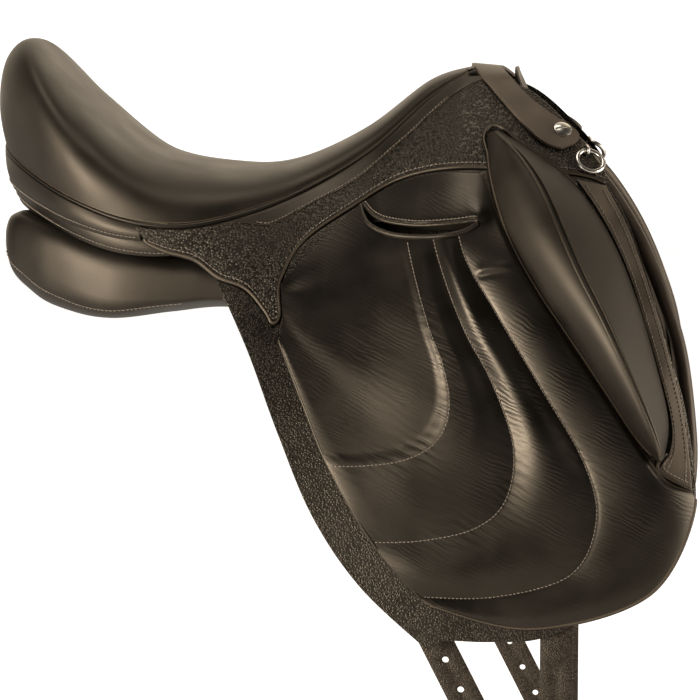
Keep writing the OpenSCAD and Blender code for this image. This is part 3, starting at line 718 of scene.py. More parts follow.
@dataclass(frozen=True)
class Leather:
    """Leather finish: pebbled if it has a grain, with painted shade in its grooves, otherwise smooth with
    fine pores; marked edges and cords are paler, part wear and part painted highlight.
    """

    slot: str
    colour: Three
    worn: Three
    roughness: float
    grain: float = 0.0
    relief: float = 0.0
    crease: float = 0.0
    gloss: Three = (1.0, 0.85, 0.66)

    def material(self) -> bpy.types.Material:
        """Makes the material.

        Returns:
            The material.
        """
        ink = Shader(bpy.data.materials.new(self.slot))
        place = ink.place()
        cloud = ink.noise(place, 28.0, 4.0)
        tint = ink.blend(shade(self.colour, 0.6), shade(self.colour, 1.5), ink.between(cloud, 0.3, 0.7, 0, 1))
        # Pale colour on marked edges and cords: part wear, part painted highlight.
        tint = ink.blend(tint, shade(self.worn), ink.between(ink.mark("worn"), 0.35, 1.0, 0.0, 0.85))
        normal = ink.bump(ink.noise(place, 1500.0, 2.0), 0.00012, 0.35)
        if self.crease:
            normal = ink.bump(self.folds(ink, place), self.crease, 0.9, normal)
        if self.grain:
            top = self.pebbles(ink, place)
            # Painted shade: the grooves between the pebbles are darkened to 0.3 of the colour.
            tint = ink.blend(shade(self.colour, 0.3), tint, ink.between(top, 0.05, 0.45, 0, 1))
            normal = ink.bump(top, self.relief, 0.9, normal)
        ink.set(ink.surface, "Base Color", tint)
        rough = ink.between(cloud, 0.25, 0.75, self.roughness - 0.05, self.roughness + 0.07)
        ink.set(ink.surface, "Roughness", rough)
        ink.set(ink.surface, "Specular Tint", shade(self.gloss))
        ink.set(ink.surface, "Normal", normal)
        return ink.owner

    @staticmethod
    def folds(ink: Shader, place: Socket) -> Socket:
        """Fine slanting folds, deeper where the leather is marked and in patches.

        Args:
            ink: Shader to add to.
            place: Where to read them.

        Returns:
            Their height.
        """
        slant = ink.node("Mapping", Vector=place, Rotation=(0, math.radians(24), 0), Scale=(2.2, 2.2, 1.0))
        slant.vector_type = "TEXTURE"
        fold = ink.node("TexWave", Vector=slant.outputs[0], Scale=105.0, Distortion=11.0, Detail=2.0,
                        Detail_Scale=0.7)
        fold.bands_direction = "Z"
        share = ink.join(Join.PRODUCT, ink.between(ink.mark("crease"), 0.0, 0.8, 0.3, 1.0),
                         ink.between(ink.noise(place, 48.0, 1.0), 0.38, 0.62, 0.15, 1.0))
        return ink.join(Join.PRODUCT, fold.outputs["Fac"], share)

    def pebbles(self, ink: Shader, place: Socket) -> Socket:
        """Pebbled grain.

        Args:
            ink: Shader to add to.
            place: Where to read it.

        Returns:
            Its height.
        """
        bent = ink.node("VectorMath")
        bent.operation = "MULTIPLY_ADD"
        shift = (0.0016, 0.0016, 0.0016)
        for key, value in enumerate((ink.noise(place, 120.0, 1.0, "Color"), shift, place)):
            ink.set(bent, key, value)
        cell = ink.node("TexVoronoi", Vector=bent.outputs[0], Scale=self.grain, Randomness=0.9)
        cell.feature = "SMOOTH_F1"
        ink.set(cell, "Smoothness", 0.25)
        return ink.between(cell.outputs["Distance"], 0.08, 0.62, 1, 0)


@dataclass(frozen=True)
class Plain:
    """Finish with one colour and a fine relief: thread, foam, wood or metal."""

    slot: str
    colour: Three
    roughness: float
    scale: Three = (600.0, 600.0, 600.0)
    relief: float = 0.0002
    metallic: float = 0.0

    def material(self) -> bpy.types.Material:
        """Makes the material.

        Returns:
            The material.
        """
        ink = Shader(bpy.data.materials.new(self.slot))
        stretch = ink.node("Mapping", Vector=ink.place(), Scale=self.scale)
        grain = ink.noise(stretch.outputs[0], 1.0, 3.0)
        share = ink.between(grain, 0.3, 0.7, 0, 1)
        tint = ink.blend(shade(self.colour, 0.75), shade(self.colour, 1.2), share)
        ink.set(ink.surface, "Base Color", tint)
        ink.set(ink.surface, "Roughness", self.roughness)
        ink.set(ink.surface, "Metallic", self.metallic)
        ink.set(ink.surface, "Normal", ink.bump(grain, self.relief, 0.5))
        return ink.owner


@dataclass(frozen=True)
class Woven:
    """Woven webbing: two sets of ribs that cross, with painted shade where they are low."""

    slot: str
    colour: Three
    pitch: float = 0.0016

    def material(self) -> bpy.types.Material:
        """Makes the material.

        Returns:
            The material.
        """
        ink = Shader(bpy.data.materials.new(self.slot))
        place = ink.place()
        ribs = []
        for axis in ("X", "Z"):
            rib = ink.node("TexWave", Vector=place, Scale=0.314 / self.pitch, Distortion=0.4)
            rib.bands_direction = axis
            ribs.append(rib.outputs["Fac"])
        cross = ink.join(Join.PRODUCT, *ribs)
        # Painted shade: the weave is darkened to 0.45 of its colour where its ribs are low.
        ink.set(ink.surface, "Base Color", ink.blend(shade(self.colour, 0.45), shade(self.colour), cross))
        ink.set(ink.surface, "Roughness", 0.85)
        ink.set(ink.surface, "Normal", ink.bump(cross, 0.0004, 0.7))
        return ink.owner


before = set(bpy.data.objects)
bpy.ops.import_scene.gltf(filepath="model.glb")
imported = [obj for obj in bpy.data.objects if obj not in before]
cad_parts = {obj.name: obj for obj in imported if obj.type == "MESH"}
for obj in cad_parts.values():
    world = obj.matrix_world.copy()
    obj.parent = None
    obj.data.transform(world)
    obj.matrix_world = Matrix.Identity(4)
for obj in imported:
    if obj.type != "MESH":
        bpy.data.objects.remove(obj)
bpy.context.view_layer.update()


class Finish:
    """The finishes that the pieces share."""

    made: dict[str, bpy.types.Material] = {}
    kinds: dict[str, Leather | Plain | Woven] = {
        # After each leather's own colour comes its pale colour for marked edges and cords: part wear, part
        # painted highlight.
        "smooth": Leather("smooth_leather", (0.0078, 0.0068, 0.0057), (0.16, 0.12, 0.08), 0.42),
        "soft": Leather("smooth_leather", (0.0085, 0.0073, 0.0060), (0.16, 0.12, 0.08), 0.47),
        "brown": Leather("smooth_leather", (0.070, 0.055, 0.042), (0.20, 0.15, 0.10), 0.46),
        "creased": Leather("smooth_leather", (0.0062, 0.0055, 0.0047), (0.16, 0.12, 0.08), 0.34,
                           crease=0.00013),
        "grain": Leather("grain_leather", (0.018, 0.016, 0.014), (0.15, 0.12, 0.08), 0.40, 480.0, 0.0009),
        "fine": Leather("grain_leather", (0.015, 0.0132, 0.0112), (0.15, 0.12, 0.08), 0.36, 620.0, 0.0003),
        "lining": Leather("lining_leather", (0.030, 0.022, 0.017), (0.14, 0.10, 0.07), 0.45),
        "strap": Leather("strap_leather", (0.024, 0.018, 0.014), (0.16, 0.11, 0.07), 0.42, 900.0, 0.0003),
        "thread": Plain("smooth_leather", (0.20, 0.165, 0.13), 0.75),
        "webbing": Woven("webbing", (0.50, 0.42, 0.30)),
        "foam": Plain("latex_foam", (0.72, 0.62, 0.42), 0.9),
        "beech": Plain("beech", (0.060, 0.040, 0.026), 0.5, (40.0, 500.0, 500.0)),
        "steel": Plain("forged_steel", (0.46, 0.46, 0.47), 0.34, (300.0, 300.0, 300.0), 0.0001, 1.0),
        "nickel": Plain("nickel", (0.74, 0.71, 0.66), 0.28, (250.0, 250.0, 250.0), 0.00004, 1.0),
    }

    @classmethod
    def get(cls, kind: str) -> bpy.types.Material:
        """Material of a finish, made once.

        Args:
            kind: Name of the finish.

        Returns:
            The material.
        """
        if kind not in cls.made:
            cls.made[kind] = cls.kinds[kind].material()
            cls.made[kind].name = kind
        return cls.made[kind]


def dress(piece: Piece, body: str, kind: str, *nodes: str) -> Piece:
    """Gives a piece its finish, body and nodes.

    Args:
        piece: The piece.
        body: Body that it rides on.
        kind: Name of its finish.
        *nodes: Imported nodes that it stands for.

    Returns:
        The piece.
    """
    piece.data.materials.clear()
    piece.data.materials.append(Finish.get(kind))
    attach(piece, body)
    if nodes:
        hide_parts(*nodes)
    LOG.info("%s: %s on %s", piece.name, kind, body)
    return piece


def pair(piece: Piece, body: str, kind: str, *nodes: str, fill: float | None = None) -> list[Piece]:
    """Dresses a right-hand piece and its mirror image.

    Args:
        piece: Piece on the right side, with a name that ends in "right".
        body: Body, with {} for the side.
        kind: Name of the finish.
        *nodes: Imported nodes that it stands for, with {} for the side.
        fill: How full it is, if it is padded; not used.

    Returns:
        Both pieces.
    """
    twin = Mesh.mirrored(piece, piece.name.replace(Side.RIGHT.value, Side.LEFT.value))
    made = []
    for side, obj in ((Side.RIGHT.value, piece), (Side.LEFT.value, twin)):
        dress(obj, body.format(side), kind, *(n.format(side) for n in nodes))
        made.append(obj)
    return made


def bead(name: str, path: Array, radius: float, worn: Three, body: str, *nodes: str, sides: int = 8) -> None:
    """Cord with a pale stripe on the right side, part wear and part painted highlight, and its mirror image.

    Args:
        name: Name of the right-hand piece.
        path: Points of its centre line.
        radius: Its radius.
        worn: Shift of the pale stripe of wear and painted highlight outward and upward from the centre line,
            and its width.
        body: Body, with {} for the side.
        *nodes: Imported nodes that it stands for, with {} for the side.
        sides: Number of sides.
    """
    cord = Mesh.tube(name, path, Mesh.blunt(path, radius), sides)
    out, up, width = worn
    # The pale stripe on the cord's outer, upper side is part wear and part painted highlight.
    Mesh.mark(cord, path + [0, -out, up], width)
    pair(cord, body, "smooth", *nodes)


def stitch_row(name: str, spots: Array, lift: Array | float, body: str, **thread: float) -> None:
    """Stitches on pattern points, with their mirror image; thread gives another pitch and radius."""
    pair(Mesh.stitches(name, Form.skin(spots, lift), Form.skin_normal(spots), **thread), body, "thread")


def flat_size(outer: Surface, rows: int = 60, cols: int = 40) -> tuple[Two, float]:
    """Flat size of a sheet before it was laid on its form.

    Args:
        outer: Surface of the sheet.
        rows: Samples along v.
        cols: Samples along u.

    Returns:
        Its largest width and length, and its area, in metres.
    """
    u, v = np.meshgrid(np.linspace(0, 1, cols), np.linspace(0, 1, rows))
    net = outer(u.ravel(), v.ravel()).reshape(rows, cols, 3) * MM
    du, dv = np.diff(net, axis=1), np.diff(net, axis=0)
    width = np.linalg.norm(du, axis=2).sum(axis=1).max()
    length = np.linalg.norm(dv, axis=2).sum(axis=0).max()
    cross = np.cross(du[:-1], dv[:, :-1])
    return (float(width), float(length)), float(np.linalg.norm(cross, axis=2).sum())


@dataclass
class Seat:
    """Seat leather, seam tape, foam core, piping and webbing."""

    first: float = 0.0075
    last: float = 0.99
    side: float = 0.985
    cover: float = 2.4
    foam_gap: float = 1.5
    foam_drop: float = 4.0
    foam_span: Two = (0.11, 0.95)
    nose: float = 0.05
    nose_way: Three = (15.0, -4.0, -11.0)
    nose_taper: float = 0.2
    piping: Two = (1.2, 2.0)
    piping_drop: Two = (1.5, 2.5)
    piping_reach: float = 26.0
    piping_end: float = 0.985
    piping_step: Two = (0.33, 0.5)
    webbing_span: Two = (0.22, 0.9)
    webbing_side: float = 0.9
    webbing_drop: float = 4.9
    webbing_t: float = 1.5
    tape_span: Two = (0.45, 0.985)
    tape_depth: float = 2.6
    tape_t: float = 0.8
    tape_low: float = 9.0
    tape_in: float = 0.06
    tape_gap: float = 0.4

    def build(self) -> None:
        """Builds and dresses the pieces."""
        self.leather()
        self.tape()
        self.core()
        self.welt()
        self.webbing()

    @staticmethod
    def across(u: Array) -> Array:
        """Place from seam to seam, with closer steps beside the seams."""
        return np.sin(np.pi / 2 * (2 * u - 1))

    def foam(self, u: Array, v: Array) -> Array:
        """Top of the foam.

        Args:
            u: Place from the right seam to the left one.
            v: Place from the cantle to the pommel.

        Returns:
            Points in space.
        """
        s, t = mix(*self.foam_span, v), self.side * self.across(u)
        depth = self.cover + self.foam_gap
        return Form.seat(s, t) - depth * Form.seat_normal(s, t)

    def foam_base(self, u: Array, v: Array) -> Array:
        """Underside of the foam.

        Args:
            u: Place from the right seam to the left one.
            v: Place from the cantle to the pommel.

        Returns:
            Points in space.
        """
        edge = Form.seam(mix(*self.foam_span, v))
        half = edge[:, 1] - self.cover - 2 * self.foam_gap
        return columns(edge[:, 0], half * (self.side * self.across(u)), edge[:, 2] - self.foam_drop)

    def top(self, u: Array, v: Array, depth: float) -> Array:
        """Seat leather from seam to seam, which goes on under the pommel strap.

        Args:
            u: Place from the right seam to the left one.
            v: Place from the cantle to the pommel.
            depth: Depth under its outer face.

        Returns:
            Points in space.
        """
        s, t = mix(self.first, 1.0, np.minimum(v / (1 - self.nose), 1)), self.across(u)
        over = np.clip((v - 1 + self.nose) / self.nose, 0, 1)
        spots = Form.seat(s, t) - depth * Form.seat_normal(np.minimum(s, self.last), t)
        along, down, tuck = self.nose_way
        shift = columns(along * over, 0, down * over**1.5 + tuck * over * t**4)
        return spots * columns(1, 1 - self.nose_taper * over, 1) + shift

    def leather(self) -> None:
        """Seat leather with its thin padding."""
        piece = Mesh.shell("seat_leather", self.top, (self.cover, 0), rows=126, cols=84, round_by=1.0)
        # Pale rim beside the seam: part wear, part painted highlight.
        Mesh.mark(piece, Form.seam(np.linspace(-0.99, 0.99, 200)), width=1.2)
        dress(piece, "saddle", "soft", "seat_cover")

    def tape_at(self, u: Array, v: Array, depth: float) -> Array:
        """Tape inside the seat seam, from the seat leather down behind the skirt.

        Args:
            u: Place along the seam.
            v: Place from its lower edge to its upper one.
            depth: Depth under its outer face.

        Returns:
            Points in space.
        """
        along, under = mix(*self.tape_span, u), self.tape_depth + depth
        high = self.top(mix(0.0, self.tape_in, np.clip(v, 0, 1)), along, under)
        seam = self.top(np.zeros_like(u), along, under)
        low = Form.skin(columns(seam[:, 0], seam[:, 2] - self.tape_low), -self.tape_gap - depth)
        return mix(low, high, ease(0.0, 0.6, v)[:, None])

    def tape(self) -> None:
        """Tapes of both seams."""
        lifts = (self.tape_t, 0)
        piece = Mesh.shell("seat_tape_right", self.tape_at, lifts, rows=10, cols=120, round_by=0.25)
        pair(piece, "saddle", "lining")

    def core(self) -> None:
        """Foam of the seat."""
        piece = Mesh.slab("seat_core", self.foam, self.foam_base, rows=60, cols=40, round_by=0.8)
        dress(piece, "saddle", "foam", "seat_foam")

    def welt(self) -> None:
        """Piping in the seat seam."""
        s = np.linspace(-self.piping_end, self.piping_end, 420)
        thick = ease(*self.piping_step, np.abs(s))
        round_seat = Form.seam(s) - columns(0, 0, mix(*self.piping_drop, thick))
        ends = np.linspace(self.piping_reach, 4, 12)
        rim = Form.rim(ends + Form.SEAM[-1, 0]) - [0, 0, self.piping_drop[1]]
        path = np.vstack([rim * MIRROR, round_seat, rim[::-1]])
        full = np.full_like(ends, self.piping[1])
        radius = np.concatenate([full, mix(*self.piping, thick), full])
        dress(Mesh.tube("seat_welt", path, radius, sides=10), "saddle", "smooth", "seat_piping")

    def webbing(self) -> None:
        """Webbing stretched over the tree."""
        def place(u: Array, v: Array, drop: float) -> Array:
            """Points at a depth under the seam."""
            edge = Form.seam(mix(*self.webbing_span, v))
            return columns(edge[:, 0], edge[:, 1] * self.webbing_side * (2 * u - 1), edge[:, 2] - drop)
        top = self.webbing_drop
        piece = Mesh.shell("seat_web", place, (top + self.webbing_t, top), rows=60, cols=40, round_by=0.5)
        dress(piece, "saddle", "webbing", "seat_webbing")
        flat, area = flat_size(lambda u, v: place(u, v, top))


@dataclass
class Skirts:
    """Pebbled skirts with a bound and stitched lower edge and a smooth band under the seat seam."""

    drop: float = 5.0
    thick: float = 3.0
    top_u: tuple[float, ...] = (-88, -68, -43, -17, -2, 8, 14, 21, 29, 47, 76, 111, 153, 202, 242, 263)
    low: Line = (
        (-79, 65), (-64, 58.5), (-42, 52.5), (-24, 40), (-3, 32), (12, 16), (18, 7), (23, 13), (22, 37),
        (37, 66), (74, 92), (108, 112), (148, 121), (197, 120), (243, 116), (265, 109))
    edge_span: Two = (0.003, 0.995)
    rear_span: Two = (0.62, 0.98)
    bead_r: float = 1.75
    bead_in: float = 0.4
    bead_worn: Three = (1.7, 0.5, 1.5)
    band: float = 12.0
    band_span: Two = (0.17, 0.84)
    row_end: float = 0.785
    row_in: float = 3.9
    band_least: float = 0.08
    band_lift: Two = (0.1, 0.7)
    band_row_in: float = 1.6
    under: Two = (10.0, 16.0)
    under_span: Two = (0.2, 0.995)
    under_lift: Two = (-1.6, -0.4)
    under_slope: float = 0.25

    def net(self, j: Array, i: Array) -> Array:
        """Pattern of the skirt: j goes from rear to front, i from the seam to the lower edge."""
        top = columns(self.top_u, Form.rim(self.top_u)[:, 2] - self.drop)
        return mix(spline(top, j), spline(self.low, j), np.asarray(i)[..., None])

    def depth(self, j: Array) -> Array:
        """Length of the skirt from the seam to its edge."""
        return np.linalg.norm(self.net(j, np.ones_like(j)) - self.net(j, np.zeros_like(j)), axis=-1)

    def build(self) -> None:
        """Builds and dresses the pieces."""
        piece = Mesh.laid("skirt_hide_right", self.net, (0, self.thick), rows=30, cols=300, round_by=1.1)
        pair(piece, "saddle", "grain", "skirt_{}")
        self.edge()
        self.seam_band()
        self.under_flap()

    def edge(self) -> None:
        """Bound edge and the stitches beside it."""
        j = np.linspace(*self.edge_span, 700)
        down = np.linspace(*self.rear_span, 40)
        rear = self.net(np.full_like(down, self.edge_span[0]), down)
        low = self.net(j, np.clip(1 - self.bead_in / self.depth(j), 0, 1))
        line = resample(Form.skin(np.vstack([rear, low]), self.thick - self.bead_in), step=1.5)
        bead("skirt_bead_right", line, self.bead_r, self.bead_worn, "saddle")
        row = self.net(j, np.clip(1 - self.row_in / self.depth(j), 0.3, 1))
        stitch_row("skirt_row_right", row, self.thick, "saddle")

    def seam_band(self) -> None:
        """Smooth layer under the seat seam, sewn along its lower edge."""
        first, last = self.band_span

        def width(j: Array) -> Array:
            """Share of the skirt that the band covers."""
            taper = hump((first - 0.01, first + 0.2, self.row_end - 0.01, last), j)
            return self.band * np.maximum(taper, self.band_least) / self.depth(j)

        def net(u: Array, v: Array) -> Array:
            """Pattern of the band."""
            j = mix(first, last, u)
            return self.net(j, v * width(j))
        low, high = (self.thick + lift for lift in self.band_lift)
        piece = Mesh.laid("seam_band_right", net, (low, high), rows=6, cols=200, round_by=0.25)
        j = np.linspace(first, last, 300)
        # Pale lower edge: part wear, part painted highlight.
        Mesh.mark(piece, Form.skin(self.net(j, width(j)), high), width=0.8)
        pair(piece, "saddle", "smooth")
        j = np.linspace(first + 0.12, self.row_end, 400)
        row = self.net(j, width(j) - self.band_row_in / self.depth(j))
        stitch_row("seam_row_right", row, high, "saddle", pitch=3.0, thread=0.36)

    def under_flap(self) -> None:
        """Leather behind the joint of skirt and flap, which stays with the saddle."""
        above, below = self.under

        def net(u: Array, v: Array) -> Array:
            """Pattern of the leather."""
            j, down = mix(*self.under_span, u), mix(-above, below, v)
            return self.net(j, np.ones_like(j)) + columns(self.under_slope * down, -down)
        piece = Mesh.laid("under_flap_right", net, self.under_lift, rows=8, cols=160, round_by=0.4)
        pair(piece, "saddle", "lining")


@dataclass
class Flaps:
    """Flaps with their padding, slot and front strip, which all ride on the lifting flap."""

    thick: float = 3.2
    gap: float = 1.8
    gap_ways: Line = ((-0.6, -1), (0.2, -1.8), (1, -1), (0.4, -1))
    gap_counts: tuple[int, ...] = (6, 1, 2, 7)
    top_first: int = 3
    foot: Two = (138, -230)
    corner: Two = (305, -175)
    rear: Line = ((0, -12), (24, -72), (51, -133), (87, -184))
    bottom: Line = ((148, -222), (181, -222), (219, -219), (259, -201))
    front: Line = ((281, 81), (296, 40), (311, -10), (324, -54), (332, -113), (325, -148))
    slot_at: Two = (127, 79)
    slot_size: Two = (74, 8)
    slot_slope: float = 3.0
    slot_reach: float = 120.0
    eye_span: Two = (0.04, 0.98)
    eye_reach: Two = (-240.0, -60.0)
    pad_low: float = 4.64
    pad_t: float = 2.0
    puff: float = 8.0
    low_swell: float = 0.5
    bead_r: float = 1.8
    bead_worn: Three = (1.8, 0.4, 2.6)
    bead_first: float = 0.612
    bead_lift: float = 0.4
    side_r: float = 1.7
    side_lift: float = 1.0
    lid: Line = ((81, 95), (84, 92), (91, 86), (102, 82), (125, 80), (152, 82), (166, 84), (171, 84))
    lip: Line = ((80, 94), (82, 87), (87, 80), (97, 75), (112, 72), (137, 72), (159, 76), (171, 83))
    lid_row: float = 3.2
    lid_high: float = 2.6
    lid_span: tuple[float, ...] = (81, 94, 166, 182)
    lid_depth: tuple[float, ...] = (-1.5, 2.0, 4, 30)
    lid_end: Two = (172, 90)
    lid_puff: float = 3.0
    lid_spread: float = 45.0
    tuck: Line = ((171, 44), (180, 46), (196, 48))
    tuck_span: tuple[float, ...] = (168, 174, 188, 200)
    crease_span: tuple[float, ...] = (-190, -120, 10, 50)
    crease_rows: Line = ((2.7, 30.0), (3.6, 38.0), (4.4, 42.0))
    crease_reach: Two = (0.3, 0.6)
    lines: tuple[Line, ...] = (
        ((21, 37), (22, 31), (23, 25), (23, 19), (24, 15), (24, 11), (23, 7), (23, 3), (22, 0)),
        ((74, 91), (84, 52), (94, 14), (99, -12), (97, -32), (89, -44), (75, -50), (59, -52), (44, -52)),
        ((108, 111), (120, 58), (134, 12), (147, -21), (151, -51), (141, -74), (119, -87), (90, -92),
         (62, -93)),
        ((127, 117), (140, 60), (160, 9), (182, -31), (198, -77), (193, -115), (171, -136), (131, -146),
         (95, -148)),
        ((148, 120), (159, 63), (183, 21), (218, -35), (249, -87), (259, -129), (241, -169), (186, -186),
         (130, -187)),
        ((172, 119), (190, 77), (219, 27), (261, -34), (306, -97.5), (330.5, -118), (298, -183), (213, -209),
         (137, -193)))
    strip_rear: Line = (
        (242, 113), (257.5, 92), (271.5, 68), (283, 42), (293, 12), (304, -24), (313, -58), (313, -80),
        (304, -95.5))
    strip_front: Line = (
        (264, 108), (279, 81), (288, 59), (295, 39), (303, 15), (313, -20), (322, -56), (327, -88),
        (329, -111))
    strip_lift: Two = (4.1, 6.1)
    strip_foot: Line = (
        (310.5, -83), (304.5, -90), (304, -95.5), (310, -100.5), (319, -105.5), (329, -111))
    foot_row: Line = ((313, -85), (308.5, -91), (309, -95), (314, -98.5), (328, -106))
    foot_r: float = 1.5
    foot_sink: float = 0.9
    foot_worn: Three = (1.5, 0.4, 1.4)
    body: str = "flap_{}_unit"

    def build(self) -> None:
        """Builds and dresses the pieces."""
        self.hide()
        self.pad()
        self.seams()
        self.slot_lip()
        self.strip()

    def top(self) -> Array:
        """Upper edge, which butts against the skirt."""
        ways = np.repeat(self.gap_ways, self.gap_counts, axis=0)
        return (np.array(Skirts.low) + self.gap * ways)[self.top_first:]

    def net(self, j: Array, i: Array) -> Array:
        """Pattern of the flap.

        Args:
            j: Place from rear to front.
            i: Place from top to bottom.

        Returns:
            Pattern points.
        """
        top = self.top()
        return Form.coons(top, [self.foot, *self.bottom, self.corner], [top[0], *self.rear, self.foot],
                          [top[-1], *self.front, self.corner], i, j)

    def eye(self) -> Piece:
        """Prism that opens the padding between lid and lip.

        Returns:
            The prism.
        """
        def place(u: Array, v: Array, share: float) -> Array:
            """Points between the lip, at 0, and the lid, at 1.

            Args:
                u: Place along the slot.
                v: Place from the outer end of the prism to the inner one.
                share: Share of the lid.

            Returns:
                Points in space.
            """
            along = mix(*self.eye_span, u)
            spots = mix(spline(self.lip, along), spline(self.lid, along), share)
            return columns(spots[:, 0], mix(*self.eye_reach, v), spots[:, 1])
        return Mesh.shell("eye_cutter", place, (0, 1), rows=1, cols=60, round_by=0)

    def cutter(self) -> Piece:
        """Prism that cuts the stirrup leather slot.

        Returns:
            The prism.
        """
        bm = bmesh.new()
        length, height = self.slot_size
        radius, half = height / 2 * MM, (length - height) / 2 * MM
        bmesh.ops.create_cone(bm, segments=48, radius1=radius, radius2=radius, depth=self.slot_reach * MM,
                              cap_ends=True)
        for vert in bm.verts:
            vert.co.x += math.copysign(half, vert.co.x)
        tilt = Matrix.Rotation(math.radians(-self.slot_slope), 4, "Y")
        bm.transform(tilt @ Matrix.Rotation(math.pi / 2, 4, "X"))
        bmesh.ops.translate(bm, vec=Vector(Form.skin(self.slot_at, 0) * MM), verts=bm.verts[:])
        return Mesh.finish(bm, "slot_cutter")

    def hide(self) -> None:
        """Flap leather."""
        piece = Mesh.laid("flap_hide_right", self.net, (0, self.thick), rows=110, cols=110, round_by=1.2)
        Mesh.cut(piece, self.cutter())
        edge = np.linspace(0.02, 1, 300)
        # Pale rear edge: part wear, part painted highlight.
        Mesh.mark(piece, Form.skin(self.net(np.zeros_like(edge), edge), self.thick / 2), width=2.2)
        pair(piece, self.body, "fine", "flap_{}")

    def pad_net(self, p: Array, q: Array) -> Array:
        """Pattern of the padding.

        Args:
            p: Place across its lines, from 0 to 5.
            q: Place along them.

        Returns:
            Pattern points.
        """
        lines = np.stack([spline(line, q) for line in self.lines])
        way = mix(np.array([1.0, -1]), np.array([0.3, -1]), np.clip(p / 0.12, 0, 1)[..., None])
        return spline(lines, p / (len(self.lines) - 1)) + self.gap * way

    def swell(self, p: Array, q: Array) -> Array:
        """Height of the padding over its seams.

        Args:
            p: Place across the lines.
            q: Place along them.

        Returns:
            Heights.
        """
        span = p - np.floor(p)
        sewn = ease(0.07, 0.17, q)
        panel = (0.34 + mix(0.16, 0.38, ease(0.12, 0.36, q)) * ease(1.78, 2.0, p)) * ease(0.0, 0.3, p)
        first = mix(0.5, 0.72, ease(0.12, 0.36, q)) * (1 - ease(0.35, 1.05, span))
        second = np.sin(np.pi * span) ** 1.1
        beside = 0.85 * np.sin(np.pi / 2 * np.clip(span / 0.7, 0, 1)) ** 0.9 * (1 - ease(0.85, 1.0, span))
        third = mix(beside, np.sin(np.pi * span) ** 0.75, ease(0.42, 0.6, q))
        crest = np.select([p < 2, p < 3, p < 4], [panel, first, second], third)
        plain = 0.62 * ease(0.0, 1.6, p) * np.where(p > 4, np.clip((5 - p) * 1.6, 0, 1) ** 0.6, 1)
        level = mix(plain, crest * mix(1.0, self.low_swell, ease(0.45, 0.72, q)), sewn)
        return self.puff * level * ease(-0.06, 0.1, q) * ease(-0.05, 0.07, 1 - q)

    def wrinkles(self, p: Array, q: Array) -> Array:
        """Fine level creases, the lid over the slot and a small tuck.

        Args:
            p: Place across the lines.
            q: Place along them.

        Returns:
            Heights.
        """
        spots = self.pad_net(p, q)
        x, z = spots[..., 0], spots[..., 1]
        near = np.exp(-(((p - np.rint(p)) / 0.2) ** 2)) * ease(1.4, 1.9, p)
        middle = hump(self.crease_span, z)
        wave = z + 0.42 * x + 2.6 * np.sin(x / 15) + 1.8 * np.sin(x / 6.1 + z / 9) + 0.8 * np.sin(x / 3.7)
        fine = np.sin(2 * np.pi * wave / 7.6) * (0.6 + 0.4 * np.sin(x / 11 + z / 23))
        broad = ripple(x / 21, z / 17, 0.4)
        flat = ease(0.0, 0.08, 1 - q) * ease(0.0, 0.4, p) * ease(0.0, 0.3, 5 - p)
        creases = flat * (middle * (0.12 * near + 0.02) * fine + 0.16 * broad)
        return creases + self.lid_rise(x, z) + self.tuck_rise(x, z)

    def lid_rise(self, x: Array, z: Array) -> Array:
        """Swell of the leather over the slot.

        Args:
            x: Pattern length.
            z: Pattern height.

        Returns:
            Heights.
        """
        edge = spline(self.lid, np.linspace(0, 1, 80))
        over = z - np.interp(x, edge[:, 0], edge[:, 1])
        along, high = self.lid_end
        puff = np.exp(-((x - along) ** 2 + (z - high) ** 2) / self.lid_spread)
        return self.lid_high * hump(self.lid_span, x) * hump(self.lid_depth, over) + self.lid_puff * puff

    def tuck_rise(self, x: Array, z: Array) -> Array:
        """Small fold beside the third seam.

        Args:
            x: Pattern length.
            z: Pattern height.

        Returns:
            Heights.
        """
        line = np.array(self.tuck, float)
        off = z - np.interp(x, line[:, 0], line[:, 1])
        fold = 1.3 * np.exp(-(((off - 4) / 3.5) ** 2)) - 1.5 * np.exp(-((off / 2.2) ** 2))
        return hump(self.tuck_span, x) * fold

    def pad_height(self, p: Array, q: Array) -> Array:
        """Lift of the padding's outer face."""
        return self.pad_low + self.pad_t + self.swell(p, q) + self.wrinkles(p, q)

    def pad_lift(self, spots: Array) -> Array:
        """Height of the padding under pattern points.

        Args:
            spots: Pattern points.

        Returns:
            Lifts.
        """
        p, q = (g.ravel() for g in np.meshgrid(np.linspace(0.1, 4.95, 160), np.linspace(0, 0.6, 160)))
        net, lift = self.pad_net(p, q), self.pad_height(p, q)
        tree = search_tree(columns(*net.T, 0))
        return np.array([lift[tree.find((*spot, 0))[1]] for spot in spots])

    def pad_face(self, p: Array, q: Array) -> Array:
        """Outer face of the padding."""
        return Form.skin(self.pad_net(p, q), self.pad_height(p, q))

    def pad(self) -> None:
        """Padded front of the flap."""
        last = len(self.lines) - 1
        piece = Mesh.slab("pad_right", lambda u, v: self.pad_face(last * v, u),
                          lambda u, v: Form.skin(self.pad_net(last * v, u), self.pad_low),
                          rows=170, cols=200, round_by=0.7)
        Mesh.cut(piece, self.eye())
        q = np.linspace(0, 1, 200)
        # Pale outer edge: part wear, part painted highlight.
        Mesh.mark(piece, self.pad_face(np.full_like(q, 4.99), q), width=1.8)
        q = np.linspace(*self.crease_reach, 60)
        for p, width in self.crease_rows:
            Mesh.mark(piece, self.pad_face(np.full_like(q, p), q), width, "crease")
        pair(piece, self.body, "creased", "flap_pad_{}", fill=0.8)

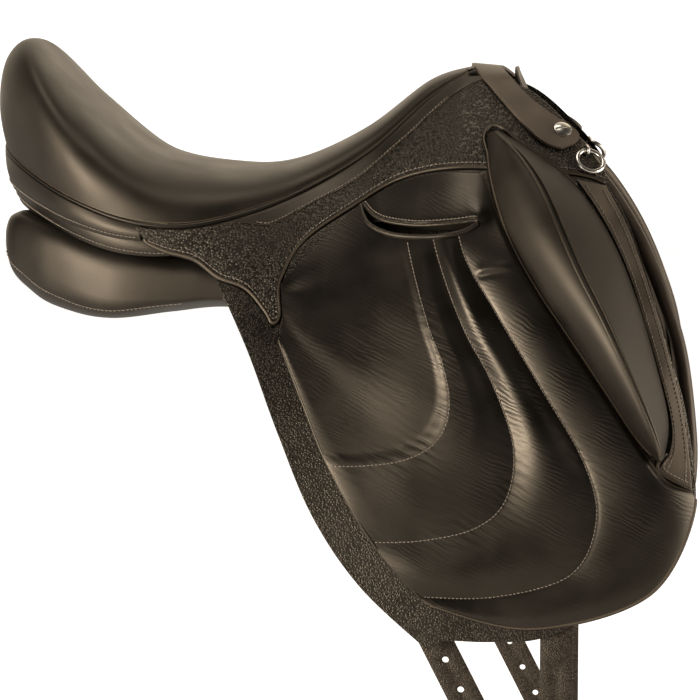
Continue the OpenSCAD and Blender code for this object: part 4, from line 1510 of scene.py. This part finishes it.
    def seams(self) -> None:
        """Stitches in the three curved seams, and the piping round the lower edge."""
        q = np.linspace(0.1, 0.985, 500)
        for number in (2, 3, 4):
            p = np.full_like(q, number)
            spots, lift = self.pad_net(p, q), self.pad_height(p, q)
            stitch_row(f"pad_row_{number}_right", spots, lift, self.body, pitch=3.0)
        q = np.linspace(self.bead_first, 1, 300)
        last = len(self.lines) - 1.0
        spots = self.pad_net(np.full_like(q, last), q)
        path = resample(Form.skin(spots, self.pad_low + self.bead_lift), step=1.5)
        bead("pad_bead_right", path, self.bead_r, self.bead_worn, self.body)
        p = mix(0.0, last, np.linspace(0.0, 1, 300))
        spots = self.pad_net(p, np.ones_like(p))
        path = resample(Form.skin(spots, self.pad_low + self.side_lift), step=1.5)
        pair(Mesh.tube("pad_side_right", path, Mesh.blunt(path, self.side_r), sides=8), self.body, "smooth")

    def slot_lip(self) -> None:
        """Bound lips of the slot, with stitches over the upper one."""
        lid, lip = (spline(line, np.linspace(0.0, 1, 160)) for line in (self.lid, self.lip))
        edges = (("lid", lid, 1.5, -0.2, ()), ("lip", lip, 2.1, 0.3, ("slot_welt_{}",)))
        for name, line, radius, more, nodes in edges:
            path = resample(Form.skin(line, even_out(self.pad_lift(line), near=6) + more), step=1.2)
            bead(f"slot_{name}_right", path, radius, (radius, 0.3, 1.0), self.body, *nodes, sides=10)
        row = lid[20:-12] + [0, self.lid_row]
        stitch_row("slot_row_right", row, self.pad_lift(row), self.body, pitch=2.8)

    def strip(self) -> None:
        """Stitched strip in front of the knee block."""
        def net(u: Array, v: Array) -> Array:
            """Pattern of the strip."""
            return mix(spline(self.strip_rear, v), spline(self.strip_front, v), u[:, None])
        high = self.strip_lift[1]
        piece = Mesh.laid("strip_right", net, self.strip_lift, rows=160, cols=14, round_by=0.6)
        pair(piece, self.body, "brown", "front_strip_{}")
        v = np.linspace(0.03, 0.97, 300)
        for name, u in (("inner", 0.2), ("outer", 0.8)):
            stitch_row(f"strip_{name}_row_right", net(np.full_like(v, u), v), high, self.body)
        foot = spline(self.strip_foot, np.linspace(0, 1, 120))
        path = resample(Form.skin(foot, high - self.foot_sink), step=1.0)
        bead("strip_foot_right", path, self.foot_r, self.foot_worn, self.body)
        stitch_row("strip_foot_row_right", spline(self.foot_row, np.linspace(0, 1, 80)), high, self.body)


@dataclass
class KneeBlocks:
    """Leaf-shaped knee blocks with a piped crest."""

    rear: Line = (
        (174.5, 146), (178, 117), (192, 75), (214, 36), (239, 0), (265, -38), (288, -72), (303, -88))
    front: Line = (
        (182, 149.5), (210, 133), (240, 110), (267, 73), (286, 31), (301.8, -19), (311.3, -60),
        (308.5, -85.5))
    crest: Two = (0.84, 0.53)
    tip: Line = ((172, 139), (172, 147), (174.5, 152), (179, 153.5), (185, 151.5), (192, 146))
    edge: float = 3.0
    ends: float = 0.34
    height: float = 42.0
    low: float = 4.1
    welt_r: float = 1.28
    welt_worn: Three = (1.4, 0.6, 1.2)
    bind_r: float = 1.6
    bind_lift: float = 2.6
    bind_worn: Three = (1.6, 0.2, 1.3)
    body: str = "flap_{}_unit"

    def crest_at(self, t: Array) -> Array:
        """Place of the crest across the block, from rear to front."""
        return mix(*self.crest, ease(0, 0.5, t))

    def rise(self, k: Array, t: Array) -> Array:
        """Height of the block.

        Args:
            k: Place across, from rear to front.
            t: Place along, from the top.

        Returns:
            Heights.
        """
        crest = self.crest_at(t)
        behind = k < crest
        side = np.where(behind, k / crest, (1 - k) / (1 - crest))
        full = np.where(behind, mix(side, np.sin(np.pi / 2 * side) ** 0.9, 0.85), side**0.72)
        ends = mix(self.ends, 1, np.sin(np.pi * mix(0.07, 0.95, t)) ** 0.7)
        return self.edge + (self.height - self.edge) * full * ends

    def net(self, k: Array, t: Array) -> Array:
        """Pattern of the block: k goes across from the rear, t along from the top."""
        return mix(spline(self.rear, t), spline(self.front, t), k[..., None])

    def face(self, k: Array, t: Array, more: float) -> Array:
        """Outer face of the block, with some extra lift."""
        return Form.skin(self.net(k, t), self.low + self.rise(k, t) + more)

    def build(self) -> None:
        """Builds and dresses the pieces."""
        piece = Mesh.shell("block_right", self.crested, (0.0, 1.0), rows=110, cols=64, round_by=1.2)
        pair(piece, self.body, "soft", "knee_block_{}", fill=0.95)
        t = np.linspace(0.015, 0.985, 400)
        for name, shift, more, nodes in (("rear", -0.03, 0.5, ("knee_welt_{}",)), ("front", 0.035, 0.9, ())):
            path = resample(self.face(self.crest_at(t) + shift * ease(0, 0.15, t), t, more), step=1.5)
            bead(f"block_{name}_welt_right", path, self.welt_r, self.welt_worn, self.body, *nodes)
        self.binding()

    def crested(self, u: Array, v: Array, share: float) -> Array:
        """Face of the block, with a line of its net on the crest.

        Args:
            u: Place across, with the crest at one half.
            v: Place along, from the top.
            share: 1 for the outer face and 0 for the inner one.

        Returns:
            Points in space.
        """
        crest = self.crest_at(v)
        k = np.where(u < 0.5, 2 * u * crest, mix(crest, 1, 2 * u - 1))
        return Form.skin(self.net(k, v), self.low + share * self.rise(k, v))

    def binding(self) -> None:
        """Bound edge round the rear and the tip of the block."""
        rear, front = np.linspace(0.97, 0.07, 300), np.linspace(0.07, 0.3, 60)
        spots = np.vstack([self.net(np.full_like(rear, -0.01), rear), self.tip,
                           self.net(np.full_like(front, 1.01), front)])
        spots = columns(*(even_out(column, near=5) for column in resample(spots, step=1.0).T))
        path = resample(Form.skin(spots, self.low + self.bind_lift), step=1.5)
        bead("block_edge_right", path, self.bind_r, self.bind_worn, self.body)


@dataclass
class Panels:
    """Flocked panels, sweat flaps and the padded rolls on their front edges."""

    stations: tuple[tuple[float, ...], ...] = (
        (-203, 44, 64, 70, 62, 10, 0), (-198, 36, 61, 80, 57, 22, 2), (-186, 31, 58, 92, 51, 29, 3),
        (-161, 31, 50, 112, 38, 31, 7), (-112, 31, 37, 134, 22, 24, 14), (-51, 31, 40, 139, 21, 19, 10),
        (8, 31, 50, 138, 9, 20, 0), (68, 32, 68, 136, 4, 19, 0), (127, 34, 88, 139, -8, 16, 0),
        (177, 40, 100, 143, -24, 13, 0), (222, 54, 92, 149, -40, 10, 0), (251, 78, 72, 154, -46, 7, 0))
    lift_span: tuple[float, ...] = (-140, -50, 60, 130)
    lift_share: float = 0.62
    rise: float = 9.0
    rise_span: tuple[float, ...] = (-65, -15, 0, 35)
    end_span: float = 0.018
    full_wall: float = 9.0
    wall_power: float = 0.45
    power: float = 0.72
    wall_k: float = 1.4
    sweat_lift: Two = (-22.5, -20.0)
    roll: Line = (
        (237, 136), (266, 105), (290, 67), (308, 25), (321, -18), (328, -78), (327, -112))
    roll_r: float = 5.4
    roll_gap: float = 2.3
    gusset_turn: float = 0.06
    gusset_span: Two = (0.04, 0.45)
    sweat_rear: Line = ((-1, 60), (15, 20), (36, -40), (66, -110), (109, -179))
    sweat_top: Line = ((48, 74), (99, 86), (150, 97), (198, 114))
    sweat_low: Line = ((151, -197), (211, -194), (271, -171))

    def ring(self, turn: Array, t: Array) -> Array:
        """Skin of the panel.

        Args:
            turn: Place round it, from 0 to 1.
            t: Place along it, from the rear.

        Returns:
            Points in space.
        """
        data = spline(self.stations, t)
        x, inner, half, wall = data[:, 0], data[:, 1:3], data[:, 5:6], data[:, 6]
        outer = data[:, 3:5] + columns(0, self.rise * hump(self.rise_span, x))
        way = (outer - inner) / 2
        normal = unit(columns(way[:, 1], -way[:, 0])) * half
        angle = 2 * np.pi * turn
        walled = (np.cos(angle) > 0) & (np.sin(angle) < 0)
        walled_power = mix(self.power, self.wall_power, np.clip(wall / self.full_wall, 0, 1))
        power = np.where(walled, walled_power, self.power)
        c, s = (np.abs(f) ** power * np.sign(f) for f in (np.cos(angle), np.sin(angle)))
        lifted = self.lift_share * c**2 * hump(self.lift_span, x)
        s = np.where((s > 0) & (c > 0), s * (1 - lifted), s)
        close = np.sqrt(1 - (1 - np.clip(np.minimum(t, 1 - t) / self.end_span, 0, 1)) ** 2)
        high = columns(0, np.where(walled, -self.wall_k * wall * c * s, 0))
        q = (inner + outer) / 2 + (way * c[:, None] + normal * s[:, None] + high) * close[:, None]
        return columns(x, -q[:, 0], q[:, 1])

    def even_ring(self, u: Array, v: Array) -> Array:
        """Skin of the panel, with closer steps at its middle and ends."""
        return self.ring(u, v - np.sin(4 * np.pi * v) / (4 * np.pi) * 0.5)

    def build(self) -> None:
        """Builds and dresses the pieces."""
        self.cushion()
        self.sweat()
        self.front_roll()

    def cushion(self) -> None:
        """Panel with its gusset seam."""
        bm = bmesh.new()
        Mesh.grid(bm, rows=150, cols=56, place=self.even_ring)
        bmesh.ops.remove_doubles(bm, verts=bm.verts[:], dist=Mesh.SAME)
        pair(Mesh.finish(bm, "cushion_right"), "saddle", "smooth", "panel_{}", fill=0.85)
        t, step = np.linspace(*self.gusset_span, 300), 0.004
        turn = np.full_like(t, self.gusset_turn)
        out = unit(np.cross(self.ring(turn, t + step) - self.ring(turn, t - step),
                            self.ring(turn + step, t) - self.ring(turn - step, t)))
        out *= np.sign(-out[:, 1:2])
        pair(Mesh.stitches("gusset_row_right", self.ring(turn, t), out), "saddle", "thread")

    def sweat(self) -> None:
        """Sweat flap under the girth straps."""
        front = np.array(self.roll) - [self.roll_r + self.roll_gap, 0]
        top = [self.sweat_rear[0], *self.sweat_top, front[0]]
        low = [self.sweat_rear[-1], *self.sweat_low, front[-1]]

        def net(u: Array, v: Array) -> Array:
            """Pattern of the sweat flap."""
            return Form.coons(top, low, self.sweat_rear, front, v, u)
        piece = Mesh.laid("sweat_hide_right", net, self.sweat_lift, rows=70, cols=60, round_by=0.9)
        pair(piece, "saddle", "lining", "sweat_flap_{}")

    def front_roll(self) -> None:
        """Padded roll on the front edge of the sweat flap."""
        line = spline(self.roll, np.linspace(0, 1, 300))
        path = resample(Form.skin(line, self.sweat_lift[0] + self.roll_r), step=2.0)
        piece = Mesh.tube("roll_right", path, Mesh.blunt(path, self.roll_r), sides=18)
        pair(piece, "saddle", "lining", "front_roll_{}", fill=0.9)


@dataclass
class Girthing:
    """Webs and the girth straps that hang on them."""

    web_low: float = -18.92
    web_t: float = 2.2
    half: float = 20.0
    webs: tuple[tuple[str, Two, Two, float], ...] = (
        ("front", (206, 128), (231, -19), 7.57), ("rear", (30, 76), (42, -40), 0.0))

    def build(self) -> None:
        """Builds and dresses the pieces."""
        for name, high, low, rise in self.webs:
            self.web(name, np.array(high), np.array(low), rise)
            for side in Side:
                node = f"billet_{name}_{side.value}"
                piece = Mesh.copy_node(node, f"strap_{name}_{side.value}", round_by=0.6)
                dress(piece, node + "_strap", "strap", node)

    def web(self, name: str, high: Array, low: Array, rise: float) -> None:
        """Web that carries a girth strap.

        Args:
            name: Front or rear.
            high: Upper end of its middle line.
            low: Lower end.
            rise: Extra lift at the lower end.
        """
        def place(u: Array, v: Array, lift: float) -> Array:
            """Points at a lift over the inner face."""
            across = columns((2 * u - 1) * self.half, 0)
            return Form.skin(mix(high, low, v[:, None]) + across, self.web_low + lift + rise * v)
        piece = Mesh.shell(f"web_{name}_right", place, (0, self.web_t), rows=50, cols=14, round_by=0.5)
        flat, area = flat_size(lambda u, v: place(u, v, self.web_t))
        for obj, side in zip(pair(piece, "saddle", "webbing", f"girth_web_{name}_{{}}"), Side):
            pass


@dataclass
class Bands:
    """Leather bands: cantle strip, rear facing, gullet facing and pommel strap."""

    head_top: float = 185.0
    head_half: tuple[Three, ...] = (
        (175, 0, 0), (175, 28, 2), (184, 55, 22), (196, 82, 58), (206, 104, 98), (213, 122, 140))
    lean: float = 6.0
    back_t: float = 2.4
    bulge: float = 1.8
    row_at: float = 0.8
    gullet_span: Two = (0.2, 0.8)
    gullet_lip: Two = (-11.0, 15.0)
    gullet_front: Two = (17.9, 20.1)
    strap_low: float = 4.62
    strap_t: float = 2.4
    strap_rear: Line = (
        (230, 134.5), (221, 137), (211, 143), (202, 152), (193, 161), (181, 174), (169, 187))
    strap_front: Line = (
        (233, 135.5), (240, 138.5), (243, 144), (236, 151), (221, 160), (204, 173), (190, 187))
    over_rear: tuple[Three, ...] = ((161, -34, 10), (158, -15, 11.5), (159, 0, 11))
    over_front: tuple[Three, ...] = ((183, -35, 8), (180, -16, 9.5), (180, 0, 9))

    def build(self) -> None:
        """Builds and dresses the pieces."""
        self.round_back("cantle_band", "cantle_strip", end=0.432, away=-1.2, high=3.0, low=(36, 15))
        self.round_back("rear_band", "rear_facing", end=0.48, away=-6.5, high=11.8, low=(46, 25))
        self.gullet()
        self.strap()

    def back(self, s: Array, away: Array, z: Array) -> Array:
        """Point behind the seat seam.

        Args:
            s: Place on the seam.
            away: Distance out from it.
            z: Depth under it.

        Returns:
            Points in space.
        """
        d = Form.seam(s + 0.01) - Form.seam(s - 0.01)
        out = unit(columns(-d[:, 1], d[:, 0], 0))
        return Form.seam(s) + columns(0, 0, -z) + out * away[:, None]

    def round_back(self, name: str, node: str, end: float, away: float, high: float, low: Two) -> None:
        """Band round the back, with a row of stitches near its lower edge.

        Args:
            name: Name of the piece.
            node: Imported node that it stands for.
            end: Last place on the seam.
            away: Distance out from the seam.
            high: Depth of its upper edge.
            low: Depth of its lower edge at the middle and at its ends.
        """
        def place(u: Array, v: Array, lift: float) -> Array:
            """Points over the inner face.

            Args:
                u: Place from the right end to the left one.
                v: Place from the upper edge to the lower one.
                lift: Lift over the inner face, which is flat; the outer one bulges.

            Returns:
                Points in space.
            """
            s = end * (2 * u - 1)
            bulge = self.bulge * min(lift / self.back_t, 1) * np.sin(np.pi * v)
            lean = self.lean * v * (1 - (s / end) ** 2) - bulge
            return self.back(s, away + lift - lean, mix(high, mix(*low, np.abs(s) / end), v))
        piece = Mesh.shell(name, place, (0, self.back_t), rows=14, cols=220, round_by=0.9)
        dress(piece, "saddle", "smooth", node)
        u = np.linspace(0.01, 0.99, 500)
        row = np.full_like(u, self.row_at)
        spots = place(u, row, self.back_t)
        out = unit(place(u, row, self.back_t + 1) - spots)
        dress(Mesh.stitches(name + "_row", spots, out), "saddle", "thread")

    def head(self, t: Array) -> Array:
        """Arch of the tree's head, from its right point to its left one."""
        half = np.array([[x, y, self.head_top - z] for x, y, z in self.head_half])
        return spline(np.vstack([half[:0:-1] * MIRROR, half]), t)

    def gullet_at(self, u: Array, v: Array, x: float) -> Array:
        """Facing in front of the tree's head.

        Args:
            u: Place from the right end to the left one.
            v: Place from the upper edge to the lower one.
            x: Distance in front of the head.

        Returns:
            Points in space.
        """
        t, step = mix(*self.gullet_span, u), 0.004
        out = unit(np.cross([1.0, 0, 0], unit(self.head(t + step) - self.head(t - step))))
        high, low = self.gullet_lip
        lip = high * (1 - np.abs(2 * t - 1) ** 2)
        return self.head(t) + [x, 0, 0] - out * mix(lip, low, v)[:, None]

    def gullet(self) -> None:
        """Gullet facing."""
        piece = Mesh.shell("gullet_band", self.gullet_at, self.gullet_front, rows=16, cols=90, round_by=0.9)
        dress(piece, "saddle", "smooth", "gullet_facing")

    def strap_edge(self, low: Line, over: tuple[Three, ...]) -> Array:
        """Edge of the pommel strap, from the right tab over the pommel to the left one."""
        half = np.vstack([Form.skin(low, self.strap_low), np.array(over) + [0, 0, self.head_top]])
        return np.vstack([half, half[-2::-1] * MIRROR])

    def strap(self) -> None:
        """Pommel strap with a rounded tab on each side."""
        rear = self.strap_edge(self.strap_rear, self.over_rear)
        front = self.strap_edge(self.strap_front, self.over_front)
        middle, step = (rear + front) / 2, 0.01

        def place(u: Array, v: Array, lift: float) -> Array:
            """Points of the strap.

            Args:
                u: Place from the rear edge to the front one.
                v: Place from the right tab to the left one.
                lift: Lift over its inner face.

            Returns:
                Points in space.
            """
            behind, ahead = spline(rear, v), spline(front, v)
            way = spline(middle, np.minimum(v + step, 1)) - spline(middle, np.maximum(v - step, 0))
            return mix(behind, ahead, u[:, None]) + lift * unit(np.cross(ahead - behind, way))
        piece = Mesh.shell("pommel_band", place, (0, self.strap_t), rows=160, cols=16, round_by=0.9)
        v = np.linspace(0.02, 0.98, 300)
        # Pale front edge: part wear, part painted highlight.
        Mesh.mark(piece, place(np.ones_like(v), v, self.strap_t / 2), width=2.0)
        dress(piece, "saddle", "brown", "pommel_strap")


@dataclass
class Hardware:
    """Tree, pockets and metal, which keep their packed forms."""

    finishes: tuple[tuple[str, str], ...] = (
        ("tree_", "beech"), ("gullet_plate", "steel"), ("gullet_rivets", "nickel"), ("stirrup_", "steel"),
        ("bar_rivets", "nickel"), ("catch_pins", "steel"), ("pommel_screws", "nickel"), ("dee_", "nickel"),
        ("point_pocket", "lining"))

    def build(self) -> None:
        """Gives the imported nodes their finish."""
        for name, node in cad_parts.items():
            for start, kind in self.finishes:
                if name.startswith(start):
                    node.data.materials.clear()
                    node.data.materials.append(Finish.get(kind))
                    LOG.info("%s: %s", name, kind)


@dataclass
class Studio:
    """Camera, soft light, pale floor and white background."""

    target: Three = (0.061, 0.0, -0.030)
    azimuth: float = 5.0
    elevation: float = 6.0
    distance: float = 2.4
    lens: float = 154.3
    sensor: float = 36.0
    clip: Two = (0.05, 100.0)
    floor_size: float = 8.0
    floor_z: float = -0.4900
    room: Two = (0.35, 0.95)
    room_light: Two = (0.015, 1.6)
    room_share: float = 0.8
    floor_glow: Two = (0.9, 0.12)
    warm: Three = (1.0, 0.92, 0.82)
    room_warm: Three = (1.0, 0.85, 0.66)
    white: Three = (1.0, 1.0, 1.0)
    lights: tuple[tuple[str, Three, Two, float], ...] = (
        ("key", (-1.7, -1.6, -0.35), (1.2, 1.2), 112.0), ("front", (-1.0, -2.15, 0.35), (1.0, 1.0), 11.0),
        ("side", (2.4, -0.3, 0.3), (1.6, 1.2), 46.0), ("top", (0.0, -0.2, 2.4), (1.2, 1.2), 18.0))

    def build(self) -> None:
        """Sets the scene up."""
        self.camera()
        for name, at, size, power in self.lights:
            self.area(name, at, size, power)
        self.world()
        self.floor()
        bpy.context.scene.view_settings.view_transform = "Standard"

    @staticmethod
    def aim(name: str, data: bpy.types.ID, at: Vector, way: Vector) -> Piece:
        """Puts a camera or a light into the scene.

        Args:
            name: Name of the object.
            data: Its camera or light.
            at: Its place.
            way: Where it points.

        Returns:
            The object.
        """
        made = into_scene(name, data)
        made.location = at
        made.rotation_mode = "QUATERNION"
        made.rotation_quaternion = way.to_track_quat("-Z", "Y")
        return made

    def camera(self) -> None:
        """Camera at the photograph's angle."""
        a, e = math.radians(self.azimuth), math.radians(self.elevation)
        back = Vector((math.sin(a) * math.cos(e), -math.cos(a) * math.cos(e), math.sin(e)))
        data = bpy.data.cameras.new("camera")
        data.lens, data.sensor_width = self.lens, self.sensor
        data.clip_start, data.clip_end = self.clip
        at = Vector(self.target) + back * self.distance
        bpy.context.scene.camera = self.aim("camera", data, at, -back)

    def area(self, name: str, at: Three, size: Two, power: float) -> None:
        """Soft light that points at the saddle.

        Args:
            name: Name of the light.
            at: Its place.
            size: Its width and height.
            power: Its power in watts.
        """
        data = bpy.data.lights.new(name, "AREA")
        data.shape, data.size, data.size_y = "RECTANGLE", *size
        data.energy, data.color = power, self.warm
        self.aim(name, data, Vector(at), Vector(self.target) - Vector(at))

    def world(self) -> None:
        """White for the camera; reflections see a room that is white behind, and its light is dim."""
        world = bpy.data.worlds.new("studio")
        bpy.context.scene.world = world
        ink = Shader(world, "Background")
        rays = ink.node("LightPath").outputs
        seen = ink.join(Join.LARGER, rays["Is Glossy Ray"], rays["Is Transmission Ray"])
        split = ink.node("SeparateXYZ")
        ink.set(split, 0, ink.node("TexCoord").outputs["Generated"])
        behind = ink.between(split.outputs["Y"], *self.room, *self.room_light)
        room = ink.join(Join.PRODUCT, behind, ink.join(Join.LARGER, seen, self.room_share))
        tone = ink.blend(shade(self.room_warm), shade(self.white), rays["Is Camera Ray"])
        ink.set(ink.surface, "Color", tone)
        ink.set(ink.surface, "Strength", ink.join(Join.LARGER, rays["Is Camera Ray"], room))

    def floor(self) -> None:
        """Pale floor that keeps the shadow."""
        bm = bmesh.new()
        bmesh.ops.create_grid(bm, x_segments=1, y_segments=1, size=self.floor_size)
        bmesh.ops.translate(bm, vec=(0, 0, self.floor_z), verts=bm.verts[:])
        floor = Mesh.finish(bm, "floor")
        ink = Shader(bpy.data.materials.new("floor"))
        rays = ink.node("LightPath").outputs
        seen = ink.join(Join.LARGER, rays["Is Glossy Ray"], rays["Is Transmission Ray"])
        to_camera, to_rest = self.floor_glow
        glow = ink.join(Join.LARGER, ink.between(rays["Is Camera Ray"], 0, 1, 0.0, to_camera),
                        ink.between(seen, 0, 1, 0.0, to_rest))
        looks = {"Base Color": shade(self.white, 0.8), "Roughness": 0.9, "Specular IOR Level": 0.0,
                 "Emission Color": shade(self.white), "Emission Strength": glow}
        for key, value in looks.items():
            ink.set(ink.surface, key, value)
        floor.data.materials.append(ink.owner)


def main() -> None:
    """Builds every group of pieces in order."""
    logging.basicConfig(level=logging.INFO, format="%(message)s")
    for group in (Seat, Skirts, Flaps, KneeBlocks, Panels, Girthing, Bands, Hardware, Studio):
        LOG.info("building %s", group.__name__)
        group().build()


if __name__ == "__main__":
    main()
